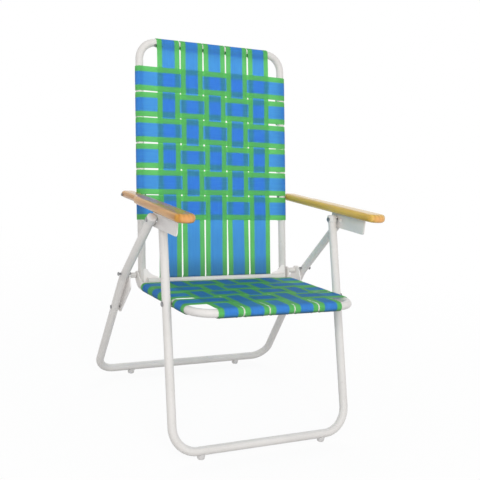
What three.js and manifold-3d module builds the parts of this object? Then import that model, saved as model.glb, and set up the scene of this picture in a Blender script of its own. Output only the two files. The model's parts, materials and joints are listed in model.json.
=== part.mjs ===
// Folding webbed lawn chair: two tube leg frames that cross at the arms, a woven seat, a tall
// woven back and wooden arms, all on one fold. Millimetres, +Z up, the front faces -Y.
import * as THREE from 'three';
import { mergeVertices } from 'three/addons/utils/BufferGeometryUtils.js';
import Module from 'manifold-3d';

const wasm = await Module();
wasm.setup();

// Clearances
const FIT = 0.3;                  // between pieces that touch
const BRACKET_PLAY = 3.7;         // round the apex bolt in the arm bracket

// Tubes
const LEG_TUBE = 19;              // diameter of both leg frames
const BODY_TUBE = 18;             // diameter of the seat and back frames
const CROSS_TUBE = 13;            // diameter of the two cross bars
const TUBE_SIDES = 20;
const BEND_STEPS = 6;             // stations in a quarter turn

// Front leg frame
const FRONT_LEG_LENGTH = 490;     // floor bar to apex bolt
const FRONT_LEG_LEAN = 21.2;      // degrees off upright
const FRONT_FOOT_BEND = 56;
const LEG_TOP = 5;                // tube beyond the apex bolt

// Rear leg frame
const LEG_GAP = 7;                // between front and rear leg, for the sheet pieces
const REAR_UPPER_LENGTH = 218.6;  // apex bolt to the dog-leg
const REAR_UPPER_LEAN = 38.1;     // degrees off upright, above the dog-leg
const REAR_LOWER_LEAN = 24.2;     // degrees off upright, below it
const REAR_KNEE_BEND = 60;
const REAR_FOOT_BEND = 42;

// Feet and tube ends
const GLIDE_INSET = 65;           // front leg to the glides
const GLIDE_HEIGHT = 8.5;         // floor to the tube's underside
const GLIDE_RADIUS = 8.5;
const GLIDE_FOOT_RADIUS = 7.8;
const GLIDE_SADDLE = 6;           // how far the glide climbs round the tube
const CAP_HEIGHT = 6;

// Seat frame, measured from the seat pivot along the rails and square to them
const SEAT_PIVOT_DROP = 178.4;    // apex bolt to seat pivot, along the front leg
const SEAT_SLOPE = 7.9;           // degrees, front higher
const SEAT_RAIL_OFFSET = 4;       // rail outside the back upright, centre to centre
const SEAT_FRONT_MARGIN = 45.8;   // front bar to the front row of webbing
const SEAT_CORNER = 48;
const SEAT_REAR_BAR_INSET = 2;    // rear cross bar in from the rear edge of the webbing
const SEAT_REAR_BAR_DROP = 5;
const SEAT_RAIL_BEYOND = 15;      // round tube beyond the webbing
const SEAT_HINGE_BEYOND = 32.7;   // webbing to the back hinge
const SEAT_HINGE_RISE = 23;
const SEAT_TAB_THICK = 6;         // flattened rail end at the hinge
const SEAT_TAB_RADIUS = 11;

// Back frame, measured from the back hinge along the uprights
const BACK_SIDE_MARGIN = 41;      // upright to the outer columns of webbing
const BACK_TOP_MARGIN = 59;       // top bar to the top row of webbing
const BACK_LEAN = 16.3;           // degrees off upright
const ARM_PIVOT_RISE = 186.75;    // hinge to arm pivot
const BACK_CORNER = 42;
const BACK_FOOT = 20;             // tube below the hinge
const BACK_BAR_DROP = 13.5;       // hinge to the lower cross bar
const BACK_BAR_ROOM = 1.5;        // end of the lower bar to the seat rails
const GUSSET_RUN = 27;            // in from the upright
const GUSSET_RISE = 21;           // above the lower bar
const GUSSET_TIP = 3;             // above the bar at the gusset's inner point

// Webbing
const WEB_WIDTH = 56;
const WEB_THICK = 1.2;
const WEB_GAP = 4.5;              // between straps side by side
const WEB_TAIL = 8;               // end behind the tube
const COLUMNS = 5;
const BACK_ROWS = 6;
const SEAT_ROW_GAP = 3;
const SEAT_WASHER_RADIUS = 4.6;   // between seat rail and front leg
const SEAT_WASHER_THICK = 1.9;
const SEAT_WASHER_ROOM = 0.6;     // washer to the rows on either side
const SEAT_ROWS_BEHIND = 3;
const WEB_EASE = 0.5;             // flat stretch beyond a crossing strap's edge

// Wooden arms, measured from the arm pivot along the arm
const ARM_RISE = 5.6;             // degrees, front higher
const ARM_REACH = 364;
const ARM_TAIL = 12;
const ARM_THICK = 18;
const ARM_EDGE = 3;               // rounding of the long edges
const ARM_SIDE_GAP = 1.5;         // arm to the webbing on the upright
const ARM_REAR_WIDTH = 34;
const ARM_FRONT_WIDTH = 45;
const ARM_SPLAY = 5;              // inner edge further out at the front
const ARM_NOSE_RADIUS = 18;
const ARM_TONGUE = 76;            // thinner rear stretch
const ARM_TONGUE_CUT = 2.5;

// Arm brackets, sheet steel angle
const BRACKET_THICK = 2.5;
const BRACKET_FLANGE = 14;
const FLANGE_SETBACK = 24;        // apex bolt to the flange, clear of the leg tops
const BRACKET_BELOW = 18;         // apex bolt to the lower edge
const BRACKET_BEHIND = 20;        // apex bolt to the rear edge
const BRACKET_AHEAD = 112;        // apex bolt to the front edge
const BRACKET_CORNER = 7;

// Link plates between the rear legs and the back hinge
const LINK_PIVOT_DROP = 94;       // dog-leg to the link's lower pivot
const LINK_THICK = 3;
const LINK_FOOT_RADIUS = 12;
const LINK_HEAD_RADIUS = 11;
const LINK_LOBE_RADIUS = 8;
const LINK_LOBE_FORWARD = 26;     // lobe in front of the back hinge
const LINK_LOBE_DROP = 18;
const LINK_NOSE_RADIUS = 8;       // corner that comes up to the stop bolt
const STOP_CLEAR = 1.8;           // stop bolt to the link
const STOP_LEAD = 9;              // stop bolt above the link's round head
const STOP_REACH = 8;             // stop bolt beyond the leg's outer side

// Fasteners
const BOLT_RADIUS = 3;
const ARM_BOLT_RADIUS = 2;
const HEAD_RADIUS = 5.5;
const HEAD_CROWN = 4;             // radius of a head's flat top
const ARM_HEAD_RADIUS = 3.6;
const ARM_HEAD_CROWN = 2.6;
const HEAD_THICK = 2.6;
const RIVET_HEAD = 1.2;
const RIVET_RADIUS = 4.5;
const RIVET_CROWN = 3.5;
const SPACER_RADIUS = 6.5;
const ROUND_SIDES = 14;

// Side view points, as (y, z)
const rad = THREE.MathUtils.degToRad;
const point = (y, z) => new THREE.Vector2(y, z);
const lean = (degrees) => point(Math.sin(rad(degrees)), Math.cos(rad(degrees)));
const go = (from, direction, distance) => from.clone().addScaledVector(direction, distance);

const legRadius = LEG_TUBE / 2;
const bodyRadius = BODY_TUBE / 2;
const crossRadius = CROSS_TUBE / 2;
const floorBarHeight = GLIDE_HEIGHT + legRadius;

// Seat webbing rows, as distances behind the seat pivot
const firstRear = SEAT_WASHER_RADIUS + SEAT_WASHER_ROOM;
const rowSpans = [[-firstRear - WEB_WIDTH, -firstRear]];
for (let i = 0; i < SEAT_ROWS_BEHIND; i++) {
  const low = firstRear + i * (WEB_WIDTH + SEAT_ROW_GAP);
  rowSpans.push([low, low + WEB_WIDTH]);
}
const rearEdge = rowSpans[SEAT_ROWS_BEHIND][1];
const seatFront = SEAT_FRONT_MARGIN - rowSpans[0][0];
const hingeSetback = rearEdge + SEAT_HINGE_BEYOND;

// Pivots and bends
const frontLegUp = lean(FRONT_LEG_LEAN);
const frontBar = point(0, floorBarHeight);
const apex = go(frontBar, frontLegUp, FRONT_LEG_LENGTH);
const seatPivot = go(apex, frontLegUp, -SEAT_PIVOT_DROP);
const rearUpperUp = lean(-REAR_UPPER_LEAN);
const rearLowerUp = lean(-REAR_LOWER_LEAN);
const knee = go(apex, rearUpperUp, -REAR_UPPER_LENGTH);
const rearLowerLength = (knee.y - floorBarHeight) / rearLowerUp.y;
const rearBar = go(knee, rearLowerUp, -rearLowerLength);
const linkPivot = go(knee, rearLowerUp, -LINK_PIVOT_DROP);
const railRearward = lean(90 + SEAT_SLOPE);
const railUpward = lean(SEAT_SLOPE);
const backHinge = go(go(seatPivot, railRearward, hingeSetback), railUpward, SEAT_HINGE_RISE);
const backUp = lean(BACK_LEAN);

const armPivot = go(backHinge, backUp, ARM_PIVOT_RISE);

// The stop bolt sits on the leg, above the link's head
const hingeDown = backHinge.clone().sub(apex).dot(rearUpperUp);
const stopAbove = LINK_HEAD_RADIUS + BOLT_RADIUS + STOP_LEAD;
const stopBolt = go(apex, rearUpperUp, hingeDown + stopAbove);

// Upper edges of the back's webbing rows: the arm bolt passes between the lowest two
const webPitch = WEB_WIDTH + WEB_GAP;
const rowTop = (row) => ARM_PIVOT_RISE - WEB_GAP / 2 + (BACK_ROWS - 1 - row) * webPitch;
const backLength = rowTop(0) + BACK_TOP_MARGIN;

// Places across the chair, outwards from the middle
const backX = (COLUMNS * webPitch - WEB_GAP) / 2 + BACK_SIDE_MARGIN;
const seatRailX = backX + SEAT_RAIL_OFFSET;
const frontLegX = seatRailX + bodyRadius + SEAT_WASHER_THICK + 2 * FIT + legRadius;
const rearLegX = frontLegX + LEG_TUBE + LEG_GAP;
const glideX = frontLegX - GLIDE_INSET;
const armInnerRear = backX + bodyRadius + FIT + WEB_THICK + ARM_SIDE_GAP;
const armOuterRear = armInnerRear + ARM_REAR_WIDTH;
const armInnerFront = armInnerRear + ARM_SPLAY;
const armOuterFront = armInnerFront + ARM_FRONT_WIDTH;
const tabInner = backX + bodyRadius + FIT;
const tabOuter = tabInner + SEAT_TAB_THICK;
const legGapInner = frontLegX + legRadius;
const legGapOuter = rearLegX - legRadius;
const legGapMiddle = (legGapInner + legGapOuter) / 2;
const rearLegOuter = rearLegX + legRadius;
const besideLink = legGapMiddle - LINK_THICK / 2 - FIT;

// Materials
const finish = (color, roughness, metalness = 0) =>
  new THREE.MeshStandardMaterial({ color, roughness, metalness });
const paint = finish(0xe8e8e6, 0.35, 0.1);
const sheetPaint = finish(0xdcdcdc, 0.4, 0.1);
const whitePlastic = finish(0xf0f0ee, 0.45);
const steel = finish(0x55565a, 0.4, 0.8);
const wood = finish(0xd9a763, 0.4);
const webbing = finish(0x3578e8, 0.7);

// Solids for cutting and joining
function toSolid(geometry) {
  const bare = geometry.clone();
  bare.deleteAttribute('normal');
  bare.deleteAttribute('uv');
  const merged = mergeVertices(bare, 1e-4);
  return new wasm.Manifold(new wasm.Mesh({
    numProp: 3,
    vertProperties: merged.attributes.position.array,
    triVerts: new Uint32Array(merged.index.array),
  }));
}

function toGeometry(solid) {
  const mesh = solid.getMesh();
  const geometry = new THREE.BufferGeometry();
  geometry.setAttribute('position', new THREE.BufferAttribute(mesh.vertProperties, mesh.numProp));
  geometry.setIndex(new THREE.BufferAttribute(mesh.triVerts, 1));
  return geometry;
}

const cut = (geometry, ...tools) =>
  toGeometry(tools.reduce((left, tool) => left.subtract(toSolid(tool)), toSolid(geometry)));
const join = (geometry, ...others) =>
  toGeometry(others.reduce((sum, other) => sum.add(toSolid(other)), toSolid(geometry)));

// A round bar across the chair, from x0 to x1, at (y, z)
function crossPin(x0, x1, radius, y, z, sides = ROUND_SIDES) {
  const bar = new THREE.CylinderGeometry(radius, radius, Math.abs(x1 - x0), sides);
  bar.rotateZ(Math.PI / 2);
  return bar.translate((x0 + x1) / 2, y, z);
}

// A hole drilled across the chair through everything on one side
const drill = (side, radius, y, z) =>
  crossPin(side * (backX - BODY_TUBE), side * (rearLegOuter + LEG_TUBE), radius, y, z);

// A turned piece across the chair: [distance outwards, radius] stations, flat at both ends
function turned(side, stations, y, z) {
  const closed = [[stations[0][0], 0], ...stations, [stations[stations.length - 1][0], 0]];
  const profile = closed.map(([along, radius]) => new THREE.Vector2(radius, along));
  const lathe = new THREE.LatheGeometry(profile, ROUND_SIDES);
  lathe.rotateZ(-Math.PI / 2);
  if (side < 0) lathe.rotateZ(Math.PI);
  return lathe.translate(0, y, z);
}

// A route of straight runs and round bends, with a station at each end of every run
class Route extends THREE.Curve {
  constructor(corners, radii) {
    super();
    this.points = [];
    this.tangents = [];
    corners.forEach((corner, i) => this.addCorner(corners, i, radii[i] ?? 0));
  }

  addCorner(corners, i, radius) {
    const before = corners[i - 1] ?? corners[i].clone().multiplyScalar(2).sub(corners[i + 1]);
    const after = corners[i + 1] ?? corners[i].clone().multiplyScalar(2).sub(corners[i - 1]);
    const inward = corners[i].clone().sub(before).normalize();
    const onward = after.clone().sub(corners[i]).normalize();
    const turn = inward.angleTo(onward);
    if (radius === 0 || turn < 1e-6) {
      this.points.push(corners[i].clone());
      this.tangents.push(inward);
      return;
    }
    const centreward = onward.clone().addScaledVector(inward, -Math.cos(turn)).normalize();
    const start = corners[i].clone().addScaledVector(inward, -radius * Math.tan(turn / 2));
    const steps = Math.max(2, Math.ceil(BEND_STEPS * turn / (Math.PI / 2)));
    for (let k = 0; k <= steps; k++) {
      const a = turn * k / steps;
      const along = inward.clone().multiplyScalar(radius * Math.sin(a));
      const across = centreward.clone().multiplyScalar(radius * (1 - Math.cos(a)));
      this.points.push(start.clone().add(along).add(across));
      const heading = inward.clone().multiplyScalar(Math.cos(a));
      this.tangents.push(heading.addScaledVector(centreward, Math.sin(a)).normalize());
    }
  }

  getSpacedPoints() {
    return this.points;
  }

  getTangentAt(u) {
    return this.tangents[Math.round(u * (this.points.length - 1))];
  }
}

function disc(radius, sides) {
  const ring = Array.from({ length: sides }, (_, i) => 2 * Math.PI * (i + 0.5) / sides);
  return new THREE.Shape(ring.map((a) => new THREE.Vector2(radius * Math.cos(a), radius * Math.sin(a))));
}

function tube(corners, radii, radius, sides = TUBE_SIDES) {
  const route = new Route(corners, radii);
  const settings = { steps: route.points.length - 1, extrudePath: route, bevelEnabled: false };
  return new THREE.ExtrudeGeometry(disc(radius, sides), settings);
}

// A flat strip drawn from the side as a line through points, then drawn out to its width
function ribbon(points, thickness) {
  const last = points.length - 1;
  const headings = points.slice(1).map((p, i) => p.clone().sub(points[i]).normalize());
  const edge = (sign) => points.map((p, i) => {
    const a = headings[Math.max(0, i - 1)];
    const b = headings[Math.min(last - 1, i)];
    const normal = new THREE.Vector2(-a.y - b.y, a.x + b.x).normalize();
    const mitre = normal.x * -a.y + normal.y * a.x;
    return p.clone().addScaledVector(normal, sign * thickness / 2 / mitre);
  });
  return new THREE.Shape([...edge(-1), ...edge(1).reverse()]);
}

const drawOut = (shape, depth) =>
  new THREE.ExtrudeGeometry(shape, { depth, bevelEnabled: false, curveSegments: 6 });
// Stands a shape drawn as (y, z) upright and draws it out along +X
const yzToWorld = new THREE.Matrix4().makeBasis(
  new THREE.Vector3(0, 1, 0), new THREE.Vector3(0, 0, 1), new THREE.Vector3(1, 0, 0));
// Stands a shape drawn as (x, z) upright and draws it out along -Y
const xzToWorld = new THREE.Matrix4().makeBasis(
  new THREE.Vector3(1, 0, 0), new THREE.Vector3(0, 0, 1), new THREE.Vector3(0, -1, 0));

const arc = (cx, cy, radius, from, to, steps) => Array.from({ length: steps + 1 }, (_, i) => {
  const a = rad(from + (to - from) * i / steps);
  return new THREE.Vector2(cx + radius * Math.cos(a), cy + radius * Math.sin(a));
});

// The smallest outline round a set of circles, each [y, z, radius]
function hull(circles) {
  const dots = circles.flatMap(([y, z, radius]) => arc(y, z, radius, 0, 345, 23));
  dots.sort((p, q) => p.x - q.x || p.y - q.y);
  const chain = (list) => list.reduce((kept, p) => {
    const turn = (o, a) => (a.x - o.x) * (p.y - o.y) - (a.y - o.y) * (p.x - o.x);
    while (kept.length > 1 && turn(kept[kept.length - 2], kept[kept.length - 1]) <= 0) kept.pop();
    return [...kept, p];
  }, []);
  const lower = chain(dots);
  const upper = chain([...dots].reverse());
  return new THREE.Shape([...lower.slice(0, -1), ...upper.slice(0, -1)]);
}

// Groups, one for each rigid body, standing at its pivot
const chair = new THREE.Group();
function body(name, at, degreesRearward = 0) {
  const group = new THREE.Group();
  group.name = name;
  group.position.set(0, at.x, at.y);
  group.rotation.x = -rad(degreesRearward);
  chair.add(group);
  return group;
}

function place(group, name, geometry, material) {
  const mesh = new THREE.Mesh(geometry, material);
  mesh.name = name;
  group.add(mesh);
}

const SIDES = [['left', -1], ['right', 1]];
const v3 = (x, y, z) => new THREE.Vector3(x, y, z);

// A domed plug on a tube's open end, at (x, y, z), pointing along (y, z) direction
function tubeCap(x, at, direction, radius) {
  const dome = arc(0, 0, 1, 90, 0, 5).map((p) => new THREE.Vector2(radius * p.x, CAP_HEIGHT * p.y));
  const profile = [new THREE.Vector2(0, 0), ...dome.reverse()];
  profile[profile.length - 1].x = 0;
  const cap = new THREE.LatheGeometry(profile, TUBE_SIDES);
  cap.rotateX(Math.PI / 2);
  cap.rotateX(-Math.atan2(direction.x, direction.y));
  return cap.translate(x, at.x, at.y);
}

// A foot that reaches up round the floor bar
function glide(x, bar) {
  const height = GLIDE_HEIGHT + GLIDE_SADDLE;
  const foot = new THREE.CylinderGeometry(GLIDE_RADIUS, GLIDE_FOOT_RADIUS, height, ROUND_SIDES);
  foot.rotateX(Math.PI / 2);
  foot.translate(x, bar.x, bar.y - floorBarHeight + height / 2);
  return cut(foot, crossPin(x - 50, x + 50, legRadius + FIT, bar.x, bar.y, TUBE_SIDES));
}

// Both leg frames are drawn from the apex bolt
const fromApex = (p) => p.clone().sub(apex);
const apexHole = fromApex(apex);

// Front leg frame with its floor bar
const frontFrame = body('front_frame', apex);
{
  const bar = fromApex(frontBar);
  const pivot = fromApex(seatPivot);
  const top = go(apexHole, frontLegUp, LEG_TOP);
  const corners = [[-1, top], [-1, bar], [1, bar], [1, top]]
    .map(([side, p]) => v3(side * frontLegX, p.x, p.y));
  const frame = tube(corners, [0, FRONT_FOOT_BEND, FRONT_FOOT_BEND, 0], legRadius);
  const holes = SIDES.flatMap(([, side]) => [apexHole, pivot]
    .map((p) => drill(side, BOLT_RADIUS + FIT, p.x, p.y)));
  place(frontFrame, 'front_leg_frame', cut(frame, ...holes), paint);
  for (const [name, side] of SIDES) {
    const capAt = go(top, frontLegUp, FIT);
    const cap = tubeCap(side * frontLegX, capAt, frontLegUp, legRadius);
    place(frontFrame, `front_leg_cap_${name}`, cap, whitePlastic);
    place(frontFrame, `front_glide_${name}`, glide(side * glideX, bar), whitePlastic);
    const legInner = frontLegX - legRadius - FIT;
    const legOuter = frontLegX + legRadius + FIT;
    const nutFace = rearLegOuter + FIT;
    place(frontFrame, `apex_bolt_${name}`, turned(side, [
      [legInner - HEAD_THICK, HEAD_CROWN], [legInner - HEAD_THICK / 2, HEAD_RADIUS],
      [legInner, HEAD_RADIUS], [legInner, BOLT_RADIUS], [nutFace, BOLT_RADIUS], [nutFace, HEAD_RADIUS],
      [nutFace + HEAD_THICK / 2, HEAD_RADIUS], [nutFace + HEAD_THICK, HEAD_CROWN],
    ], apexHole.x, apexHole.y), steel);
    const railInner = seatRailX - bodyRadius - FIT;
    const railOuter = seatRailX + bodyRadius + FIT;
    place(frontFrame, `seat_pivot_bolt_${name}`, turned(side, [
      [railInner - HEAD_THICK, HEAD_CROWN], [railInner, HEAD_RADIUS], [railInner, BOLT_RADIUS],
      [railOuter, BOLT_RADIUS], [railOuter, SEAT_WASHER_RADIUS], [legInner, SEAT_WASHER_RADIUS],
      [legInner, BOLT_RADIUS],
      [legOuter, BOLT_RADIUS], [legOuter, HEAD_RADIUS], [legOuter + HEAD_THICK, HEAD_CROWN],
    ], pivot.x, pivot.y), steel);
  }
}

// Rear leg frame with its dog-leg and floor bar
const rearFrame = body('rear_frame', apex);
{
  const top = go(apexHole, rearUpperUp, LEG_TOP);
  const bend = fromApex(knee);
  const bar = fromApex(rearBar);
  const pivot = fromApex(linkPivot);
  const stop = fromApex(stopBolt);
  const corners = [[-1, top], [-1, bend], [-1, bar], [1, bar], [1, bend], [1, top]]
    .map(([side, p]) => v3(side * rearLegX, p.x, p.y));
  const bends = [0, REAR_KNEE_BEND, REAR_FOOT_BEND, REAR_FOOT_BEND, REAR_KNEE_BEND, 0];
  const holes = SIDES.flatMap(([, side]) => [apexHole, pivot, stop]
    .map((p) => drill(side, BOLT_RADIUS + FIT, p.x, p.y)));
  place(rearFrame, 'rear_leg_frame', cut(tube(corners, bends, legRadius), ...holes), paint);
  for (const [name, side] of SIDES) {
    const capAt = go(top, rearUpperUp, FIT);
    const cap = tubeCap(side * rearLegX, capAt, rearUpperUp, legRadius);
    place(rearFrame, `rear_leg_cap_${name}`, cap, whitePlastic);
    place(rearFrame, `rear_glide_${name}`, glide(side * glideX, bar), whitePlastic);
    const outside = rearLegOuter + FIT;
    place(rearFrame, `link_pivot_rivet_${name}`, turned(side, [
      [besideLink - RIVET_HEAD, RIVET_RADIUS], [besideLink, RIVET_RADIUS], [besideLink, BOLT_RADIUS],
      [outside, BOLT_RADIUS], [outside, RIVET_RADIUS], [outside + RIVET_HEAD, RIVET_CROWN],
    ], pivot.x, pivot.y), steel);
    const stopEnd = rearLegOuter + STOP_REACH;
    place(rearFrame, `link_stop_bolt_${name}`, turned(side, [
      [besideLink + FIT, BOLT_RADIUS], [stopEnd - HEAD_THICK, BOLT_RADIUS],
      [stopEnd - HEAD_THICK, RIVET_RADIUS], [stopEnd, RIVET_CROWN],
    ], stop.x, stop.y), steel);
  }
}

// Levels of the weave: the middle of a strap that lies on a tube, and half the step between
// a strap that passes over and one that passes under
const onTube = (radius) => radius + FIT + WEB_THICK / 2;
const weaveStep = (WEB_THICK + FIT) / 2;

// Points of a strap over its crossings, each [low, high, +1 over or -1 under]
const woven = (crossings, level) => crossings.flatMap(([low, high, over]) => [
  new THREE.Vector2(low - WEB_EASE, level + over * weaveStep),
  new THREE.Vector2(high + WEB_EASE, level + over * weaveStep),
]);

const columnX = (column) => (column - (COLUMNS - 1) / 2) * webPitch;
const columnSpans = Array.from({ length: COLUMNS }, (_, c) =>
  [columnX(c) - WEB_WIDTH / 2, columnX(c) + WEB_WIDTH / 2]);

// A strap across two tubes at plus and minus x, woven through the columns between them
function crossStrap(x, radius, overAt) {
  const level = onTube(radius);
  const crossings = columnSpans.map(([low, high], c) => [low, high, overAt(c)]);
  const leftWrap = [new THREE.Vector2(-x + WEB_TAIL, -level), ...arc(-x, 0, level, 270, 90, 8)];
  const rightWrap = leftWrap.map((p) => new THREE.Vector2(-p.x, p.y)).reverse();
  return ribbon([...leftWrap, ...woven(crossings, level), ...rightWrap], WEB_THICK);
}

// Seat, drawn along its rails from the seat pivot: +Y to the rear, +Z up
const seat = body('seat', seatPivot, SEAT_SLOPE);
{
  const railEnd = rearEdge + SEAT_RAIL_BEYOND;
  const corners = [v3(-seatRailX, railEnd, 0), v3(-seatRailX, -seatFront, 0),
    v3(seatRailX, -seatFront, 0), v3(seatRailX, railEnd, 0)];
  const rails = tube(corners, [0, SEAT_CORNER, SEAT_CORNER, 0], bodyRadius);
  const hinge = [hingeSetback, SEAT_HINGE_RISE];
  const tabStart = rearEdge + FIT;
  const tabs = SIDES.map(([, side]) => {
    const shape = new THREE.Shape();
    const outerHeel = hingeSetback + SEAT_TAB_RADIUS;
    const innerHeel = hingeSetback - SEAT_TAB_RADIUS;
    shape.moveTo(tabStart, -bodyRadius + 1);
    shape.lineTo(outerHeel - SEAT_TAB_RADIUS * 2, -bodyRadius + 1);
    shape.quadraticCurveTo(outerHeel, -bodyRadius + 1, outerHeel, SEAT_TAB_RADIUS);
    shape.lineTo(outerHeel, SEAT_HINGE_RISE);
    shape.absarc(hingeSetback, SEAT_HINGE_RISE, SEAT_TAB_RADIUS, 0, Math.PI, false);
    shape.quadraticCurveTo(innerHeel, bodyRadius - 1, innerHeel - 8, bodyRadius - 1);
    shape.lineTo(tabStart, bodyRadius - 1);
    shape.closePath();
    const tab = drawOut(shape, SEAT_TAB_THICK).applyMatrix4(yzToWorld);
    return tab.translate(side > 0 ? tabInner : -tabOuter, 0, 0);
  });
  const holes = SIDES.flatMap(([, side]) => [
    drill(side, BOLT_RADIUS + FIT, 0, 0), drill(side, BOLT_RADIUS + FIT, ...hinge)]);
  place(seat, 'seat_frame', cut(join(rails, ...tabs), ...holes), paint);

  const barEnd = seatRailX - bodyRadius - FIT;
  const rearBarY = rearEdge - SEAT_REAR_BAR_INSET;
  const bar = crossPin(-barEnd, barEnd, crossRadius, rearBarY, -SEAT_REAR_BAR_DROP, TUBE_SIDES);
  place(seat, 'seat_rear_bar', bar, paint);

  for (const [name, side] of SIDES) {
    const uprightInner = backX - bodyRadius - FIT;
    place(seat, `back_hinge_bolt_${name}`, turned(side, [
      [uprightInner - HEAD_THICK, HEAD_CROWN], [uprightInner - HEAD_THICK / 2, HEAD_RADIUS],
      [uprightInner, HEAD_RADIUS], [uprightInner, BOLT_RADIUS], [besideLink - FIT, BOLT_RADIUS],
    ], ...hinge), steel);
    const sleeve = crossPin(side * (tabOuter + FIT), side * besideLink, SPACER_RADIUS, ...hinge);
    const bore = drill(side, BOLT_RADIUS + FIT, ...hinge);
    place(seat, `back_hinge_spacer_${name}`, cut(sleeve, bore), paint);
  }

  rowSpans.forEach(([, high], row) => {
    const shape = crossStrap(seatRailX, bodyRadius, (c) => ((row + c) % 2 === 0 ? 1 : -1));
    const strap = drawOut(shape, WEB_WIDTH).applyMatrix4(xzToWorld).translate(0, high, 0);
    place(seat, `seat_cross_strap_${row + 1}`, strap, webbing);
  });

  const level = onTube(bodyRadius);
  const rearLevel = onTube(crossRadius);
  const frontTail = new THREE.Vector2(-seatFront + WEB_TAIL, -level);
  const frontWrap = [frontTail, ...arc(-seatFront, 0, level, 270, 90, 8)];
  const rearWrap = [
    new THREE.Vector2(rearBarY + rearLevel - 1, level - 2),
    ...arc(rearBarY, -SEAT_REAR_BAR_DROP, rearLevel, 0, -90, 5),
    new THREE.Vector2(rearBarY - WEB_TAIL, -SEAT_REAR_BAR_DROP - rearLevel)];
  columnSpans.forEach(([left], column) => {
    const crossings = rowSpans.map(([low, high], row) => [low, high, (row + column) % 2 === 0 ? -1 : 1]);
    const shape = ribbon([...frontWrap, ...woven(crossings, level), ...rearWrap], WEB_THICK);
    const strap = drawOut(shape, WEB_WIDTH).applyMatrix4(yzToWorld).translate(left, 0, 0);
    place(seat, `seat_long_strap_${column + 1}`, strap, webbing);
  });
}

// Back, drawn up its uprights from the back hinge: +Z up the back, -Y to the front
const back = body('back', backHinge, BACK_LEAN);
{
  const corners = [v3(-backX, 0, -BACK_FOOT), v3(-backX, 0, backLength),
    v3(backX, 0, backLength), v3(backX, 0, -BACK_FOOT)];
  const frame = tube(corners, [0, BACK_CORNER, BACK_CORNER, 0], bodyRadius);
  const holes = SIDES.flatMap(([, side]) => [
    drill(side, BOLT_RADIUS + FIT, 0, 0), drill(side, ARM_BOLT_RADIUS + FIT, 0, ARM_PIVOT_RISE)]);
  place(back, 'back_frame', cut(frame, ...holes), paint);

  // The lower bar stands in front of the webbing, on a sheet gusset that fills the room behind it
  const level = onTube(bodyRadius);
  const gussetThick = WEB_THICK;
  const barY = -bodyRadius - gussetThick - 2 * FIT - crossRadius;
  const barEnd = seatRailX - bodyRadius - BACK_BAR_ROOM;
  const bar = crossPin(-barEnd, barEnd, crossRadius, barY, -BACK_BAR_DROP, TUBE_SIDES);
  place(back, 'back_lower_bar', bar, paint);
  const uprightInner = backX - bodyRadius;
  const gussetInner = uprightInner - GUSSET_RUN;
  const barTop = crossRadius - BACK_BAR_DROP;
  const barBottom = -crossRadius - BACK_BAR_DROP;
  for (const [name, side] of SIDES) {
    const outline = [[backX, barBottom], [backX, barTop + GUSSET_RISE], [uprightInner, barTop + GUSSET_RISE],
      [gussetInner, barTop + GUSSET_TIP], [gussetInner, barBottom]];
    const shape = new THREE.Shape(outline.map(([x, z]) => new THREE.Vector2(side * x, z)));
    const plate = drawOut(shape, gussetThick).applyMatrix4(xzToWorld).translate(0, -bodyRadius - FIT, 0);
    place(back, `back_gusset_${name}`, plate, sheetPaint);
    const boltFace = uprightInner - FIT;
    const armOuter = armOuterRear + FIT;
    place(back, `arm_pivot_bolt_${name}`, turned(side, [
      [boltFace - HEAD_THICK, ARM_HEAD_CROWN], [boltFace, ARM_HEAD_RADIUS], [boltFace, ARM_BOLT_RADIUS],
      [armOuter, ARM_BOLT_RADIUS], [armOuter, ARM_HEAD_RADIUS], [armOuter + HEAD_THICK, ARM_HEAD_CROWN],
    ], 0, ARM_PIVOT_RISE), steel);
  }

  for (let row = 0; row < BACK_ROWS; row++) {
    const shape = crossStrap(backX, bodyRadius, (c) => ((row + c) % 2 === 0 ? 1 : -1));
    const strap = drawOut(shape, WEB_WIDTH);
    strap.rotateZ(Math.PI);
    strap.translate(0, 0, rowTop(row) - WEB_WIDTH);
    place(back, `back_cross_strap_${row + 1}`, strap, webbing);
  }

  const topTail = new THREE.Vector2(level, backLength - WEB_TAIL);
  const topWrap = [topTail, ...arc(0, backLength, level, 0, 180, 8)];
  const lowEnd = new THREE.Vector2(-level, barBottom);
  columnSpans.forEach(([left], column) => {
    const crossings = Array.from({ length: BACK_ROWS }, (_, row) =>
      [-rowTop(row), WEB_WIDTH - rowTop(row), (row + column) % 2 === 0 ? -1 : 1]);
    const face = woven(crossings, level).map((p) => new THREE.Vector2(-p.y, -p.x));
    const shape = ribbon([...topWrap, ...face, lowEnd], WEB_THICK);
    const strap = drawOut(shape, WEB_WIDTH).applyMatrix4(yzToWorld).translate(left, 0, 0);
    place(back, `back_long_strap_${column + 1}`, strap, webbing);
  });
}

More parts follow.
